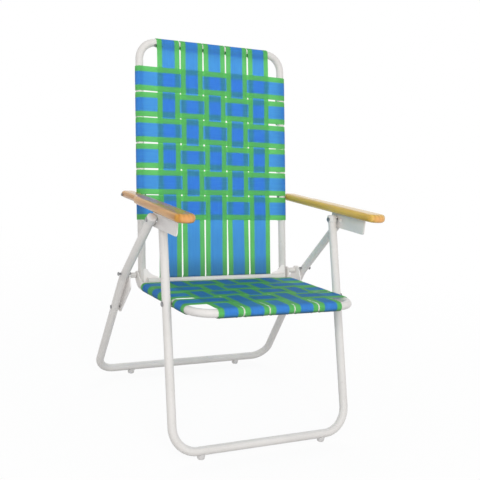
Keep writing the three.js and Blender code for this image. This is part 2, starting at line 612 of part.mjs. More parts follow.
// Link plates from the rear legs up to the back hinge
for (const [name, side] of SIDES) {
  const group = body(`link_${name}`, linkPivot);
  const hinge = backHinge.clone().sub(linkPivot);
  const lobe = point(hinge.x - LINK_LOBE_FORWARD, hinge.y - LINK_LOBE_DROP);
  const stop = stopBolt.clone().sub(linkPivot);
  const inward = hinge.clone().sub(stop).normalize();
  const nose = go(stop, inward, BOLT_RADIUS + STOP_CLEAR + LINK_NOSE_RADIUS);
  const outline = hull([[0, 0, LINK_FOOT_RADIUS], [hinge.x, hinge.y, LINK_HEAD_RADIUS],
    [lobe.x, lobe.y, LINK_LOBE_RADIUS], [nose.x, nose.y, LINK_NOSE_RADIUS]]);
  const plate = drawOut(outline, LINK_THICK).applyMatrix4(yzToWorld);
  plate.translate(side * legGapMiddle - LINK_THICK / 2, 0, 0);
  const holes = [point(0, 0), hinge].map((p) => drill(side, BOLT_RADIUS + FIT, p.x, p.y));
  place(group, `link_plate_${name}`, cut(plate, ...holes), sheetPaint);
  const inner = legGapMiddle - LINK_THICK / 2;
  const outer = legGapMiddle + LINK_THICK / 2 + FIT;
  place(group, `link_top_rivet_${name}`, turned(side, [
    [inner, BOLT_RADIUS], [outer, BOLT_RADIUS], [outer, RIVET_RADIUS], [outer + RIVET_HEAD, RIVET_CROWN],
  ], hinge.x, hinge.y), steel);
}

// Arms, drawn forward from the arm pivot: -Y to the front, +Z up
for (const [name, side] of SIDES) {
  const group = body(`arm_${name}`, armPivot, ARM_RISE);
  const plan = new THREE.Shape();
  const tailRadius = ARM_REAR_WIDTH / 2 - ARM_EDGE;
  const tailX = (armOuterRear + armInnerRear) / 2;
  const front = -ARM_REACH + ARM_EDGE;
  const noseInner = armInnerFront + ARM_EDGE;
  const noseOuter = armOuterFront - ARM_EDGE;
  plan.absarc(tailX, ARM_TAIL - tailRadius - ARM_EDGE, tailRadius, 0, Math.PI, false);
  plan.lineTo(noseInner, front + ARM_NOSE_RADIUS);
  plan.quadraticCurveTo(noseInner, front, noseInner + ARM_NOSE_RADIUS, front);
  plan.lineTo(noseOuter - ARM_NOSE_RADIUS, front);
  plan.quadraticCurveTo(noseOuter, front, noseOuter, front + ARM_NOSE_RADIUS);
  plan.closePath();
  const plank = new THREE.ExtrudeGeometry(plan, {
    depth: ARM_THICK - 2 * ARM_EDGE, bevelEnabled: true, bevelSize: ARM_EDGE, bevelThickness: ARM_EDGE,
    bevelSegments: 3, curveSegments: 6,
  });
  plank.translate(0, 0, -ARM_THICK / 2 + ARM_EDGE);
  const step = new THREE.BoxGeometry(2 * ARM_REAR_WIDTH, 2 * ARM_TONGUE, ARM_THICK);
  step.translate(tailX, 0, ARM_TONGUE_CUT - ARM_THICK);
  const board = toSolid(cut(plank, step, drill(1, ARM_BOLT_RADIUS + FIT, 0, 0)));
  place(group, `arm_${name}`, toGeometry(side > 0 ? board : board.mirror([1, 0, 0])), wood);

  // Angle bracket: a web between the legs and a flange under the board
  const toApex = apex.clone().sub(armPivot);
  const bolt = point(-toApex.dot(lean(-90 + ARM_RISE)), toApex.dot(lean(ARM_RISE)));
  const under = -ARM_THICK / 2 - FIT;
  const bottom = bolt.y - BRACKET_BELOW;
  const nose = bolt.x - BRACKET_AHEAD;
  const heel = bolt.x + BRACKET_BEHIND;
  const web = new THREE.Shape();
  web.moveTo(heel, under);
  web.lineTo(nose, under);
  web.lineTo(nose, bottom + BRACKET_CORNER);
  web.quadraticCurveTo(nose, bottom, nose + BRACKET_CORNER, bottom);
  web.lineTo(heel - BRACKET_CORNER, bottom);
  web.quadraticCurveTo(heel, bottom, heel, bottom + BRACKET_CORNER);
  web.closePath();
  const inner = legGapMiddle - BRACKET_THICK / 2;
  const webPlate = drawOut(web, BRACKET_THICK).applyMatrix4(yzToWorld).translate(inner, 0, 0);
  const flangeLength = BRACKET_AHEAD - FLANGE_SETBACK;
  const flange = new THREE.BoxGeometry(BRACKET_FLANGE, flangeLength, BRACKET_THICK);
  flange.translate(inner + BRACKET_FLANGE / 2, nose + flangeLength / 2, under - BRACKET_THICK / 2);
  const hole = drill(1, BOLT_RADIUS + BRACKET_PLAY, bolt.x, bolt.y);
  const bracket = toSolid(cut(join(webPlate, flange), hole));
  const handed = toGeometry(side > 0 ? bracket : bracket.mirror([1, 0, 0]));
  place(group, `arm_bracket_${name}`, handed, sheetPaint);
}

// The chair stands on the floor with its middle over the origin
const box = new THREE.Box3().setFromObject(chair);
chair.position.y = -(box.min.y + box.max.y) / 2;

export default chair;
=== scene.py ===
"""Folding webbed lawn chair: smooth tubes, woven straps, wooden arms and fasteners around the
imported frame. Drawings are in millimetres in each body's own frame, the scene is in metres."""
import json
import math
from math import cos, pi, radians, sin, sqrt

import bmesh
import bpy
from mathutils import Euler, Matrix, Vector


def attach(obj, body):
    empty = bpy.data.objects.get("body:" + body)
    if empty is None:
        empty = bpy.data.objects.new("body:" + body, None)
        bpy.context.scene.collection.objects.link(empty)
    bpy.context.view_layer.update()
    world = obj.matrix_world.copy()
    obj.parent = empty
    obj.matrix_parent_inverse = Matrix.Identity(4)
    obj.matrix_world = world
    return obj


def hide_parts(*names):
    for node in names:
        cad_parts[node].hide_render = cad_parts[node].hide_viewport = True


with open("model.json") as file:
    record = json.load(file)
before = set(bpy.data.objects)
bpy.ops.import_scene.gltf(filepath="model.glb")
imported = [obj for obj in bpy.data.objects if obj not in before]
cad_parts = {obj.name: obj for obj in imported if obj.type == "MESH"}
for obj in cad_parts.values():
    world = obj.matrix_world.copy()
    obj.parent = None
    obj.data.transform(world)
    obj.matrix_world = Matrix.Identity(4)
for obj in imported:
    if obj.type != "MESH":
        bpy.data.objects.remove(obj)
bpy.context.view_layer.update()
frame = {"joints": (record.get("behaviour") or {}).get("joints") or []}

MM = 0.001
SIDES = (("left", -1), ("right", 1))
FIT = 0.3                 # clearance between pieces that touch

# Tubes
LEG_RADIUS = 9.5
BODY_RADIUS = 9.0
CROSS_RADIUS = 6.5
TUBE_SIDES = 40
TUBE_RIM = 0.8            # rounding at a tube's ends
BEND_STEP = 5.0           # degrees between rings in a bend
WELD = ((0.0, 1.4), (1.2, 1.12), (2.6, 0.2), (3.4, 0.0))  # bead at a bar's end: along, above the bar

# Leg frames, from the apex bolt
FRONT_LEG_X = 215.0
FRONT_LEG_LENGTH = 490.0
FRONT_LEG_LEAN = 21.2
FRONT_FOOT_BEND = 56.0
REAR_LEG_X = 241.0
REAR_UPPER_LENGTH = 218.6
REAR_UPPER_LEAN = -38.1
REAR_LOWER_LEAN = -24.2
REAR_KNEE_BEND = 60.0
REAR_FOOT_BEND = 42.0
LEG_TOP = 5.0             # tube above the apex bolt
SEAT_PIVOT_DROP = 178.4
LINK_PIVOT_DROP = 94.0    # below the rear leg's knee

# Leg caps and glides
CAP_WALL = 1.3
CAP_SKIRT = 12.0          # below the tube's end
CAP_RIM = 0.4
CAP_TOP = 5.0
CAP_EDGE = 3.0
CAP_CROWN = 0.6
GLIDE_X = 150.0
GLIDE_HEIGHT = 8.5
GLIDE_RADIUS = 8.5
GLIDE_FOOT_RADIUS = 7.8
GLIDE_TREAD = ((0.0, 0.55), (0.0, 0.86), (0.4, 0.95), (1.2, 1.0))  # lift, share of the foot's radius
GLIDE_CUP = 0.4           # inner end of the cupped top, of the radius

# Webbing
WEB_WIDTH = 57.0
WEB_THICK = 1.1
WEB_PITCH = 60.5
WEB_TAIL = 8.0            # past the middle of the tube that it goes round
WEB_STEP = 0.75           # over and under, off the middle level
WEB_EASE = 2.0            # how far a strap's rise runs into a crossing
WEB_LIFT = 0.6            # a strap's middle above what it lies on
COLUMNS = tuple(WEB_PITCH * c for c in (-2, -1, 0, 1, 2))
EDGE_STRIPE = 0.22        # of the width, at each edge

# Seat, from the seat pivot
SEAT_SLOPE = 7.9
SEAT_RAIL_X = 194.0
SEAT_FRONT = 107.0
SEAT_CORNER = 48.0
SEAT_REAR_BAR = (177.2, -5.0)  # along the seat, above the pivot
SEAT_HINGE = (211.9, 23.0)
SEAT_ROW_MIDDLES = (-33.2, 33.2, 92.2, 151.2)

# Rear ends of the seat rails, flattened and turned up to the back hinge
SEAT_TAB_X = 202.3
SEAT_TAB_THICK = 6.0
SEAT_TAB_RADIUS = 11.0
TAB_TOP_CUT = 1.5         # off the tab's round top
TAB_KNEE = 1.0            # height of the corner that the end turns round
TAB_LAP = 4.0             # how far the shaped end starts inside the rail
RAIL_PAST_WEB = 1.0
TAB_RINGS = 14
FLAT_FROM = 0.12          # of the shaped end
FLAT_OVER = 0.5
ROUND_FROM = 0.86
ROUND_OVER = 0.15
ROUND_LEAST = 0.05
TAB_SQUARENESS = 0.45

# Back, from the back hinge
BACK_LEAN = 16.3
BACK_X = 190.0
BACK_LENGTH = 546.0
BACK_CORNER = 42.0
BACK_FOOT = 20.0
BACK_BAR_DROP = 13.5
BACK_BAR_ROOM = 1.5       # end of the lower bar to the seat rails
BACK_TOP_ROW = 459.0
BACK_ROW_MIDDLES = tuple(BACK_TOP_ROW - WEB_PITCH * row for row in range(6))
ARM_PIVOT_RISE = 186.75
GUSSET_THICK = 1.2
GUSSET_EDGE = 0.3
GUSSET_RUN = 27.0         # in from the upright
GUSSET_RISE = 21.0        # above the lower bar
GUSSET_TIP = 3.0          # above the bar at its inner point
GUSSET_HOLLOW = 3.0       # of its sloping edge
GUSSET_STEPS = 8

# Arms, from the arm pivot
ARM_RISE = 5.6
ARM_THICK = 18.0
ARM_TAIL = 12.0
ARM_REACH = 364.0
ARM_INNER = (202.0, 207.0)  # rear, front
ARM_OUTER = (236.0, 252.0)
ARM_EDGE = 7.5
ARM_EDGE_STEPS = 5
ARM_NOSE_RADIUS = 21.0
ARM_NOSE_EASE = 13.0      # stretch over which the front end rounds down
ARM_NOSE_DROP = 5.0
ARM_TAIL_CORNER = 8.0
ARM_TONGUE = 76.0
ARM_TONGUE_CUT = 2.2      # under its outer side
ARM_STEP = 3.0            # slope at the front of the tongue
ARM_SHOULDER = 4.5        # how far the board stands out past its tongue
ARM_SHOULDER_RUN = 16.0
ARM_SHOULDER_STEPS = 10
ARM_CUTS = (2, 4, 6.5, 9, 11.5, 14, 18, 40, 80, 130, 180, 230)  # rings across, from the nose
GRAIN_SHIFT = 40.0        # gives each board its own grain
END_GRAIN = 9.0           # depth at the nose

# Arm brackets and links, both in the gap between the legs
GAP_MIDDLE = 228.0
BRACKET_THICK = 2.5
BRACKET_EDGE = 0.5
BRACKET_BELOW = 18.0
BRACKET_BEHIND = 20.0
BRACKET_AHEAD = 112.0
BRACKET_CORNER = 7.0
BRACKET_HOLE = 6.7
FLANGE_WIDTH = 14.0
FLANGE_SETBACK = 24.0
FLANGE_CORNER = 4.0
FLANGE_SCREWS = (0.22, 0.78)  # of its length
FLANGE_SCREW_OUT = 0.45   # of its width
FLANGE_SCREW_HEAD = (1.8, 3.4)  # height, radius
BOSS_AHEAD = 17.0         # small boss in front of the apex bolt
BOSS_HEAD = (1.9, 4.5)
LINK_THICK = 3.0
LINK_EDGE = 0.6
LINK_FOOT_RADIUS = 12.0
LINK_HEAD_RADIUS = 11.0
LINK_LOBE = (-26.0, -18.0, 8.0)  # off the back hinge, and its radius
LINK_NOSE_RADIUS = 8.0
LINK_RIVET_HEAD = 1.2
STOP_CLEAR = 1.8
STOP_LEAD = 9.0
STOP_REACH = 8.0
STOP_CHAMFER = 0.3

# Fasteners
BOLT_RADIUS = 3.0
HEAD_RADIUS = 5.5
HEAD_THICK = 2.6
ARM_BOLT_RADIUS = 2.0
ARM_HEAD_RADIUS = 3.6
RIVET_RADIUS = 4.5
RIVET_HEAD = 1.6
RIVET_TAIL = 0.7 * RIVET_HEAD
SHANK_IN = 1.0            # how far a shank runs into its head
RIVET_SHANK_IN = 0.5
SPACER_RADIUS = 6.5
SPACER_CHAMFER = 0.6
WASHER_RADIUS = 4.6
DOME_SHOULDER = 0.25      # upright part of a domed head, of its height
NUT_FLAT = 0.87           # flats, of the corner radius
NUT_CHAMFER = 0.2         # of the height
ROUND_SIDES = 36

# Drawing frames: a body's pivot, leaning back by its angle
pivot = {j["name"]: Vector(j["pos_m"]) for j in frame["joints"]}


def drawn_at(joint, lean=0.0):
    turn = Matrix.Rotation(-radians(lean), 4, "X")
    return Matrix.Translation(pivot[joint]) @ turn @ Matrix.Scale(MM, 4)


LEGS_AT = drawn_at("fold")
SEAT_AT = drawn_at("seat_pivot", SEAT_SLOPE)
BACK_AT = drawn_at("back_hinge", BACK_LEAN)
LINK_AT = drawn_at("link_pivot_left")
ARM_AT = drawn_at("arm_pivot_left", ARM_RISE)


def lean(degrees):
    return Vector((0, sin(radians(degrees)), cos(radians(degrees))))


def off_pivot(point, joint):
    """A world point of the side view in another body's plain drawing frame."""
    return (point - pivot[joint]) / MM


# Node materials
class Graph:
    """Nodes and links of one material or of the world."""

    def __init__(self, tree):
        self.nodes = tree.nodes
        self.links = tree.links

    def feed(self, socket, value):
        """Links an output to an input, or sets its value."""
        if isinstance(value, bpy.types.NodeSocket):
            self.links.new(value, socket)
        else:
            socket.default_value = (*value, 1.0) if socket.type == "RGBA" else value

    def put(self, node, **values):
        """Feeds inputs by name, with _ for a space."""
        for key, value in values.items():
            self.feed(node.inputs[key.replace("_", " ")], value)
        return node

    def new(self, kind, **values):
        return self.put(self.nodes.new("ShaderNode" + kind), **values)

    def read(self, attribute):
        node = self.new("Attribute")
        node.attribute_name = attribute
        return node.outputs

    def math(self, operation, *values):
        node = self.new("Math")
        node.operation = operation
        for socket, value in zip(node.inputs, values):
            self.feed(socket, value)
        return node.outputs[0]

    def noise(self, vector, scale, detail=3.0):
        return self.new("TexNoise", Vector=vector, Scale=scale, Detail=detail, Roughness=0.55).outputs["Fac"]

    def scaled(self, vector, scale):
        return self.new("Mapping", Vector=vector, Scale=scale).outputs["Vector"]

    def remap(self, value, low, high, to_low=0.0, to_high=1.0):
        node = self.new("MapRange", Value=value, From_Min=low, From_Max=high, To_Min=to_low, To_Max=to_high)
        return node.outputs["Result"]

    def mix(self, factor, first, second):
        """Mixes two colours."""
        node = self.new("Mix")
        node.data_type = "RGBA"
        for i, value in ((0, factor), (6, first), (7, second)):
            self.feed(node.inputs[i], value)
        return node.outputs[2]

    def blend(self, factor, first, second):
        """Mixes two shaders."""
        node = self.new("MixShader", Fac=factor)
        self.feed(node.inputs[1], first)
        self.feed(node.inputs[2], second)
        return node.outputs["Shader"]

    def bump(self, shader, height, distance, strength):
        node = self.new("Bump", Strength=strength, Distance=distance, Height=height)
        self.put(shader, Normal=node.outputs["Normal"])


def new_material(name):
    material = bpy.data.materials.new(name)
    material.use_nodes = True
    graph = Graph(material.node_tree)
    return material, graph, graph.nodes["Principled BSDF"]


def coated(name, light, dark, roughness, peel, coat):
    """Paint or moulded plastic: faint mottling, uneven gloss and a fine orange peel."""
    material, graph, shader = new_material(name)
    place = graph.new("TexCoord").outputs["Object"]
    broad = graph.noise(place, 14.0)
    fine = graph.noise(place, 160.0, 4.0)
    shade = graph.remap(graph.math("MULTIPLY_ADD", fine, 0.35, broad), 0.45, 0.95)
    colour = graph.mix(shade, dark, light)
    graph.put(shader, Base_Color=colour, Roughness=graph.remap(fine, 0.3, 0.7, *roughness),
              Coat_Weight=coat, Coat_Roughness=0.12, Specular_IOR_Level=0.5)
    graph.bump(shader, graph.noise(place, 700.0, 2.0), peel, 0.5)
    return material


def plated_steel(name, light, dark):
    """Zinc plated steel: turned streaks and dull spots."""
    material, graph, shader = new_material(name)
    place = graph.new("TexCoord").outputs["Object"]
    streaks = graph.noise(graph.scaled(place, (2600.0, 300.0, 300.0)), 1.0, 2.0)
    spots = graph.noise(place, 420.0, 4.0)
    shade = graph.math("MULTIPLY_ADD", spots, 0.6, streaks)
    graph.put(shader, Base_Color=graph.mix(graph.remap(shade, 0.5, 1.1), dark, light),
              Roughness=graph.remap(spots, 0.3, 0.7, 0.28, 0.5), Metallic=0.9)
    graph.bump(shader, shade, 0.00005, 0.4)
    return material


# Wood colours, as light and dark: the right board is the yellower one
BOARDS = {"left": ((0.66, 0.315, 0.045), (0.49, 0.205, 0.022)),
          "right": ((0.82, 0.54, 0.115), (0.61, 0.375, 0.06))}
WOOD_PORE = (0.30, 0.14, 0.05)
WOOD_END = (0.84, 0.40, 0.16)


def varnished_wood(name, light, dark):
    """Pale wood, grain along the arm, open pores, redder end grain, under clear varnish."""
    material, graph, shader = new_material(name)
    place = graph.read("grain")["Vector"]
    long_place = graph.scaled(place, (1.0, 0.07, 1.0))
    drift = graph.noise(long_place, 42.0)
    rings = graph.new("TexWave", Vector=long_place, Scale=36.0, Distortion=5.0, Detail=2.5, Detail_Scale=1.6,
                      Detail_Roughness=0.6)
    rings.bands_direction = "X"
    band = graph.math("MULTIPLY_ADD", drift, 0.9, rings.outputs["Fac"])
    colour = graph.mix(graph.remap(band, 0.35, 1.35), dark, light)
    pores = graph.noise(graph.scaled(place, (1.0, 0.03, 1.0)), 900.0, 2.0)
    pore = graph.remap(pores, 0.60, 0.72, 0.0, 0.45)
    colour = graph.mix(pore, colour, WOOD_PORE)
    end = graph.math("MULTIPLY", graph.read("end_grain")["Fac"], 0.75)
    graph.put(shader, Base_Color=graph.mix(end, colour, WOOD_END),
              Roughness=graph.remap(pores, 0.3, 0.8, 0.30, 0.42), Specular_IOR_Level=0.2,
              Coat_Weight=0.7, Coat_IOR=1.35, Coat_Roughness=0.09)
    graph.bump(shader, graph.math("SUBTRACT", band, pore), 0.00008, 0.5)
    return material


# Webbing yarns in metres, colours, the share of light that goes through, and the colour of painted shade
YARN_ACROSS = 0.0018
YARN_ALONG = 0.0016
STRIPE_RAGGED = 0.0004
BLUE_LIGHT = (0.21, 0.81, 0.94)
BLUE_DARK = (0.158, 0.66, 0.855)
BLUE_THROUGH = (0.265, 0.59, 0.995)
BLUE_THROUGH_DARK = (0.237, 0.524, 0.985)
BLUE_SHARE = 0.78
GREEN_LIGHT = (0.23, 0.86, 0.25)
GREEN_DARK = (0.20, 0.77, 0.22)
GREEN_THROUGH = (0.41, 0.81, 0.45)
GREEN_THROUGH_DARK = (0.38, 0.76, 0.42)
GREEN_SHARE = 0.60
# Dark colour mixed into the webbing as painted shade, where the straps would lie in shade
PAINTED_SHADE_COLOUR = (0.03, 0.05, 0.08)


def webbing(name):
    """Woven plastic webbing: blue with a green stripe down each edge, flat yarns over and under,
    and some light through it from behind."""
    material, graph, shader = new_material(name)
    place = graph.read("web")["Vector"]
    apart = graph.new("SeparateXYZ", Vector=place).outputs

    # Yarns: over and under in a plain weave, with uneven spacing
    wander = graph.noise(graph.scaled(place, (1.0, 0.15, 1.0)), 260.0, 2.0)
    across_turn = graph.math("MULTIPLY", apart["X"], 2 * pi / YARN_ACROSS)
    across_turn = graph.math("MULTIPLY_ADD", wander, 1.6, across_turn)
    along_turn = graph.math("MULTIPLY", apart["Y"], 2 * pi / YARN_ALONG)
    knit = graph.math("MULTIPLY", graph.math("SINE", across_turn), graph.math("SINE", along_turn))

    # Stripes, with an edge that follows the yarns
    reach = graph.math("ABSOLUTE", apart["X"])
    ragged = graph.math("MULTIPLY_ADD", knit, STRIPE_RAGGED, reach)
    limit = (0.5 - EDGE_STRIPE) * WEB_WIDTH * MM
    stripe = graph.remap(ragged, limit - STRIPE_RAGGED, limit + STRIPE_RAGGED)

    # Single yarns a little lighter or darker, long streaks, dark between the yarns, and painted shade
    yarns = graph.noise(graph.scaled(place, (1.0, 0.02, 1.0)), 700.0, 1.0)
    streaks = graph.noise(graph.scaled(place, (1.0, 0.06, 1.0)), 260.0, 2.0)
    depth = graph.math("ADD", graph.math("MULTIPLY_ADD", knit, 0.10, yarns), streaks)
    tone = graph.remap(depth, 0.65, 1.35)
    # Painted shade: a per-point share that darkens the colour, low on the back's long straps and over the seat
    painted_shading = graph.read("painted_shade")["Fac"]

    def striped(blue_dark, blue_light, green_dark, green_light):
        blue = graph.mix(tone, blue_dark, blue_light)
        green = graph.mix(tone, green_dark, green_light)
        return graph.mix(painted_shading, graph.mix(stripe, blue, green), PAINTED_SHADE_COLOUR)

    graph.put(shader, Base_Color=striped(BLUE_DARK, BLUE_LIGHT, GREEN_DARK, GREEN_LIGHT),
              Roughness=graph.remap(knit, -1.0, 1.0, 0.55, 0.36), Specular_IOR_Level=0.8)
    graph.bump(shader, graph.math("MULTIPLY_ADD", yarns, 0.5, knit), 0.0002, 0.5)
    behind = striped(BLUE_THROUGH_DARK, BLUE_THROUGH, GREEN_THROUGH_DARK, GREEN_THROUGH)
    through = graph.new("BsdfTranslucent", Color=behind)
    both = graph.blend(graph.remap(stripe, 0.0, 1.0, BLUE_SHARE, GREEN_SHARE),
                       shader.outputs["BSDF"], through.outputs["BSDF"])
    graph.put(graph.nodes["Material Output"], Surface=both)
    return material


# Finishes, as (slot, material)
PAINT = ("white_paint", coated("white_paint", (0.80, 0.775, 0.75), (0.73, 0.705, 0.68),
                               roughness=(0.26, 0.38), peel=0.00004, coat=0.12))
# Painted light: a lighter copy of the white paint for the brackets, gussets and link plates, standing in for
# light that reaches these sheet parts
LIGHTENED_SHEET_PAINT = ("white_paint", coated("lightened_sheet_paint", (0.93, 0.90, 0.88), (0.86, 0.83, 0.81),
                                     roughness=(0.30, 0.44), peel=0.00005, coat=0.1))
PLASTIC = ("white_plastic", coated("white_plastic", (0.79, 0.775, 0.765), (0.72, 0.70, 0.69),
                                   roughness=(0.40, 0.55), peel=0.00006, coat=0.0))
STEEL = ("fastener_steel", plated_steel("fastener_steel", (0.42, 0.42, 0.43), (0.20, 0.20, 0.205)))
WOOD = {label: ("varnished_wood", varnished_wood(f"varnished_wood_{label}", *tones))
        for label, tones in BOARDS.items()}
WEB = ("webbing", webbing("webbing"))

# Meshes
CREASE = 38.0             # degrees, a sharper edge is shaded sharp
STRAP_CREASE = 50.0
PLATE_CORNER = 60.0       # degrees, a sharper edge of a plate is rounded


def add_rings(bm, rings):
    """Skins rings of equal length into a tube with closed ends."""
    made = [[bm.verts.new(p) for p in ring] for ring in rings]
    count = len(rings[0])
    for low, high in zip(made, made[1:]):
        for i in range(count):
            j = (i + 1) % count
            bm.faces.new((low[i], low[j], high[j], high[i]))
    bm.faces.new(made[0][::-1])
    bm.faces.new(made[-1])
    return made


def add_object(name, data):
    thing = bpy.data.objects.new(name, data)
    bpy.context.scene.collection.objects.link(thing)
    return thing


def make_piece(node, suffix, bm, at, body, finish, crease=CREASE, replaces=True):
    """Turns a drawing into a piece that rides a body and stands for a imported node, or is trim of its own."""
    name = f"{node}_{suffix}"
    slot, material = finish
    bmesh.ops.recalc_face_normals(bm, faces=bm.faces)
    bm.transform(at)
    mesh = bpy.data.meshes.new(name)
    bm.to_mesh(mesh)
    bm.free()
    mesh.materials.append(material)
    mesh.polygons.foreach_set("use_smooth", [True] * len(mesh.polygons))
    mesh.set_sharp_from_angle(angle=radians(crease))
    piece = add_object(name, mesh)
    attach(piece, body)
    if replaces:
        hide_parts(node)
    return piece


def route(corners, bends):
    """Points and headings along straight runs joined by round bends."""
    points, headings = [], []
    last = len(corners) - 1
    for i, (corner, bend) in enumerate(zip(corners, bends)):
        before = corners[i - 1] if i > 0 else 2 * corner - corners[1]
        after = corners[i + 1] if i < last else 2 * corner - corners[i - 1]
        inward = (corner - before).normalized()
        onward = (after - corner).normalized()
        turn = inward.angle(onward)
        if bend == 0:
            points.append(corner.copy())
            headings.append(inward)
            continue
        centreward = (onward - inward * cos(turn)).normalized()
        start = corner - inward * bend * math.tan(turn / 2)
        steps = max(3, math.ceil(math.degrees(turn) / BEND_STEP))
        for k in range(steps + 1):
            a = turn * k / steps
            points.append(start + inward * bend * sin(a) + centreward * bend * (1 - cos(a)))
            headings.append(inward * cos(a) + centreward * sin(a))
    return points, headings


def circle(radius):
    turns = [2 * pi * i / TUBE_SIDES for i in range(TUBE_SIDES)]
    return [(radius * cos(a), radius * sin(a)) for a in turns]


def add_tube(bm, corners, bends, radius):
    """A bent tube without twist, with a small rounded rim at each end."""
    points, headings = route(corners, bends)
    first, last = headings[0], headings[-1]
    line = [points[0], points[0] + first * TUBE_RIM, *points[1:-1], points[-1] - last * TUBE_RIM, points[-1]]
    sections = [circle(radius)] * len(line)
    sections[0] = sections[-1] = circle(radius - TUBE_RIM / 2)
    side = first.orthogonal().normalized()
    rings = []
    for point, heading, section in zip(line, [first, *headings, last], sections):
        side = (side - heading * side.dot(heading)).normalized()
        up = heading.cross(side)
        rings.append([point + side * u + up * v for u, v in section])
    add_rings(bm, rings)


def hex_share(turn):
    """How far a hexagon of unit inner radius reaches at an angle, with its corners cut."""
    return min(1.1, 1 / cos((turn % (pi / 3)) - pi / 6))


def add_turned(bm, stations, at, axis=(1, 0, 0)):
    """A turned piece along an axis from a point: (along, radius) stations, or with True a hexagon."""
    axis = Vector(axis)
    side = axis.orthogonal().normalized()
    up = axis.cross(side)
    rings = []
    for along, radius, *six in stations:
        ring = []
        for i in range(ROUND_SIDES):
            a = 2 * pi * i / ROUND_SIDES
            r = radius * (hex_share(a) if six else 1.0)
            ring.append(Vector(at) + axis * along + side * (r * cos(a)) + up * (r * sin(a)))
        rings.append(ring)
    add_rings(bm, rings)


def shank(start, end, radius=BOLT_RADIUS):
    return [(start, radius), (end, radius)]


def dome(start, height, radius):
    """Stations of a domed head that stands on start and rises by height."""
    shoulder = start + height * DOME_SHOULDER
    rise = height * (1 - DOME_SHOULDER)
    turns = [radians(15 * i) for i in range(6)]
    return [(start, radius)] + [(shoulder + rise * sin(a), radius * cos(a)) for a in turns]


def nut(start, height, radius):
    """Stations of a hexagon nut with chamfered corners on start."""
    flat = radius * NUT_FLAT
    top = start + height
    chamfer = top - height * NUT_CHAMFER
    return [(start, flat * 0.94), (start, flat, True), (chamfer, flat, True),
            (top, flat * 0.90), (top, flat * 0.55), (chamfer, flat * 0.5)]


def washer(height, radius):
    return [(0, radius), (height * 0.7, radius), (height, radius * 0.9)]


def facing_in(stations):
    """A head turned to face the middle of the chair from where it stands."""
    start = stations[0][0]
    return [(2 * start - along, *rest) for along, *rest in stations]


def fastener(name, at, body, side, point, parts, finish=STEEL):
    """Turned parts on one axis across the chair, set out from its middle to one side."""
    bm = bmesh.new()
    for stations in parts:
        add_turned(bm, [(side * along, *rest) for along, *rest in stations], (0, *point))
    make_piece(name, "turned", bm, at, body, finish)


def outline_plate(bm, outline, holes, thick, edge, steps=2):
    """A plate in the (y, z) plane, drawn out along +X from 0, with rounded edges."""
    loops = []
    for ring in (outline, *holes):
        verts = [bm.verts.new((0, y, z)) for y, z in ring]
        loops += [bm.edges.new((a, b)) for a, b in zip(verts, verts[1:] + verts[:1])]
    faces = bmesh.ops.triangle_fill(bm, use_beauty=True, edges=loops)["geom"]
    faces = [f for f in faces if isinstance(f, bmesh.types.BMFace)]
    lifted = bmesh.ops.extrude_face_region(bm, geom=faces, use_keep_orig=True)["geom"]
    lifted = [v for v in lifted if isinstance(v, bmesh.types.BMVert)]
    bmesh.ops.translate(bm, verts=lifted, vec=(thick, 0, 0))
    bmesh.ops.recalc_face_normals(bm, faces=bm.faces)
    corner = radians(PLATE_CORNER)
    sharp = [e for e in bm.edges if len(e.link_faces) == 2 and e.calc_face_angle() > corner]
    bmesh.ops.bevel(bm, geom=sharp, offset=edge, segments=steps, affect="EDGES", profile=0.5)


def arc(cy, cz, radius, start, end, steps):
    turns = [radians(start + (end - start) * i / steps) for i in range(steps + 1)]
    return [(cy + radius * cos(a), cz + radius * sin(a)) for a in turns]


def hole(y, z, radius):
    return arc(y, z, radius, 0, 350, 35)


def hull(circles):
    """The smallest outline round circles, each (y, z, radius)."""
    dots = sorted({p for y, z, r in circles for p in arc(y, z, r, 0, 354, 59)})

    def chain(points):
        kept = []
        for p in points:
            while len(kept) > 1:
                (ay, az), (by, bz) = kept[-2], kept[-1]
                if (by - ay) * (p[1] - az) - (bz - az) * (p[0] - ay) > 0:
                    break
                kept.pop()
            kept.append(p)
        return kept[:-1]

    return chain(dots) + chain(dots[::-1])


def ease(t):
    t = min(1.0, max(0.0, t))
    return t * t * (3 - 2 * t)


# Leg frames
front_up = lean(FRONT_LEG_LEAN)
upper_up = lean(REAR_UPPER_LEAN)
lower_up = lean(REAR_LOWER_LEAN)
front_top = LEG_TOP * front_up
front_bar = -FRONT_LEG_LENGTH * front_up
rear_top = LEG_TOP * upper_up
knee = -REAR_UPPER_LENGTH * upper_up
rear_bar = knee - lower_up * ((knee.z - front_bar.z) / lower_up.z)
seat_pivot = -SEAT_PIVOT_DROP * front_up
link_pivot = knee - LINK_PIVOT_DROP * lower_up
hinge_down = off_pivot(pivot["back_hinge"], "fold").dot(upper_up)
stop_bolt = upper_up * (hinge_down + LINK_HEAD_RADIUS + BOLT_RADIUS + STOP_LEAD)

# Faces that the fasteners stand on, out from the middle of the chair
leg_inner = FRONT_LEG_X - LEG_RADIUS - FIT
leg_outer = FRONT_LEG_X + LEG_RADIUS + FIT
rear_outer = REAR_LEG_X + LEG_RADIUS + FIT
rail_inner = SEAT_RAIL_X - BODY_RADIUS - FIT
rail_outer = SEAT_RAIL_X + BODY_RADIUS + FIT
back_inner = BACK_X - BODY_RADIUS - FIT
tab_outer = SEAT_TAB_X + SEAT_TAB_THICK / 2 + FIT
link_inner = GAP_MIDDLE - LINK_THICK / 2 - FIT
link_outer = GAP_MIDDLE + LINK_THICK / 2 + FIT
arm_outer = ARM_OUTER[0] + FIT
stop_head = rear_outer - FIT + STOP_REACH - HEAD_THICK


def across(x, point):
    return Vector((x, point.y, point.z))


def leg_frame(name, body, x, line, bends):
    corners = [across(-x, p) for p in line] + [across(x, p) for p in reversed(line)]
    bm = bmesh.new()
    add_tube(bm, corners, bends + bends[::-1], LEG_RADIUS)
    make_piece(name, "tube", bm, LEGS_AT, body, PAINT)


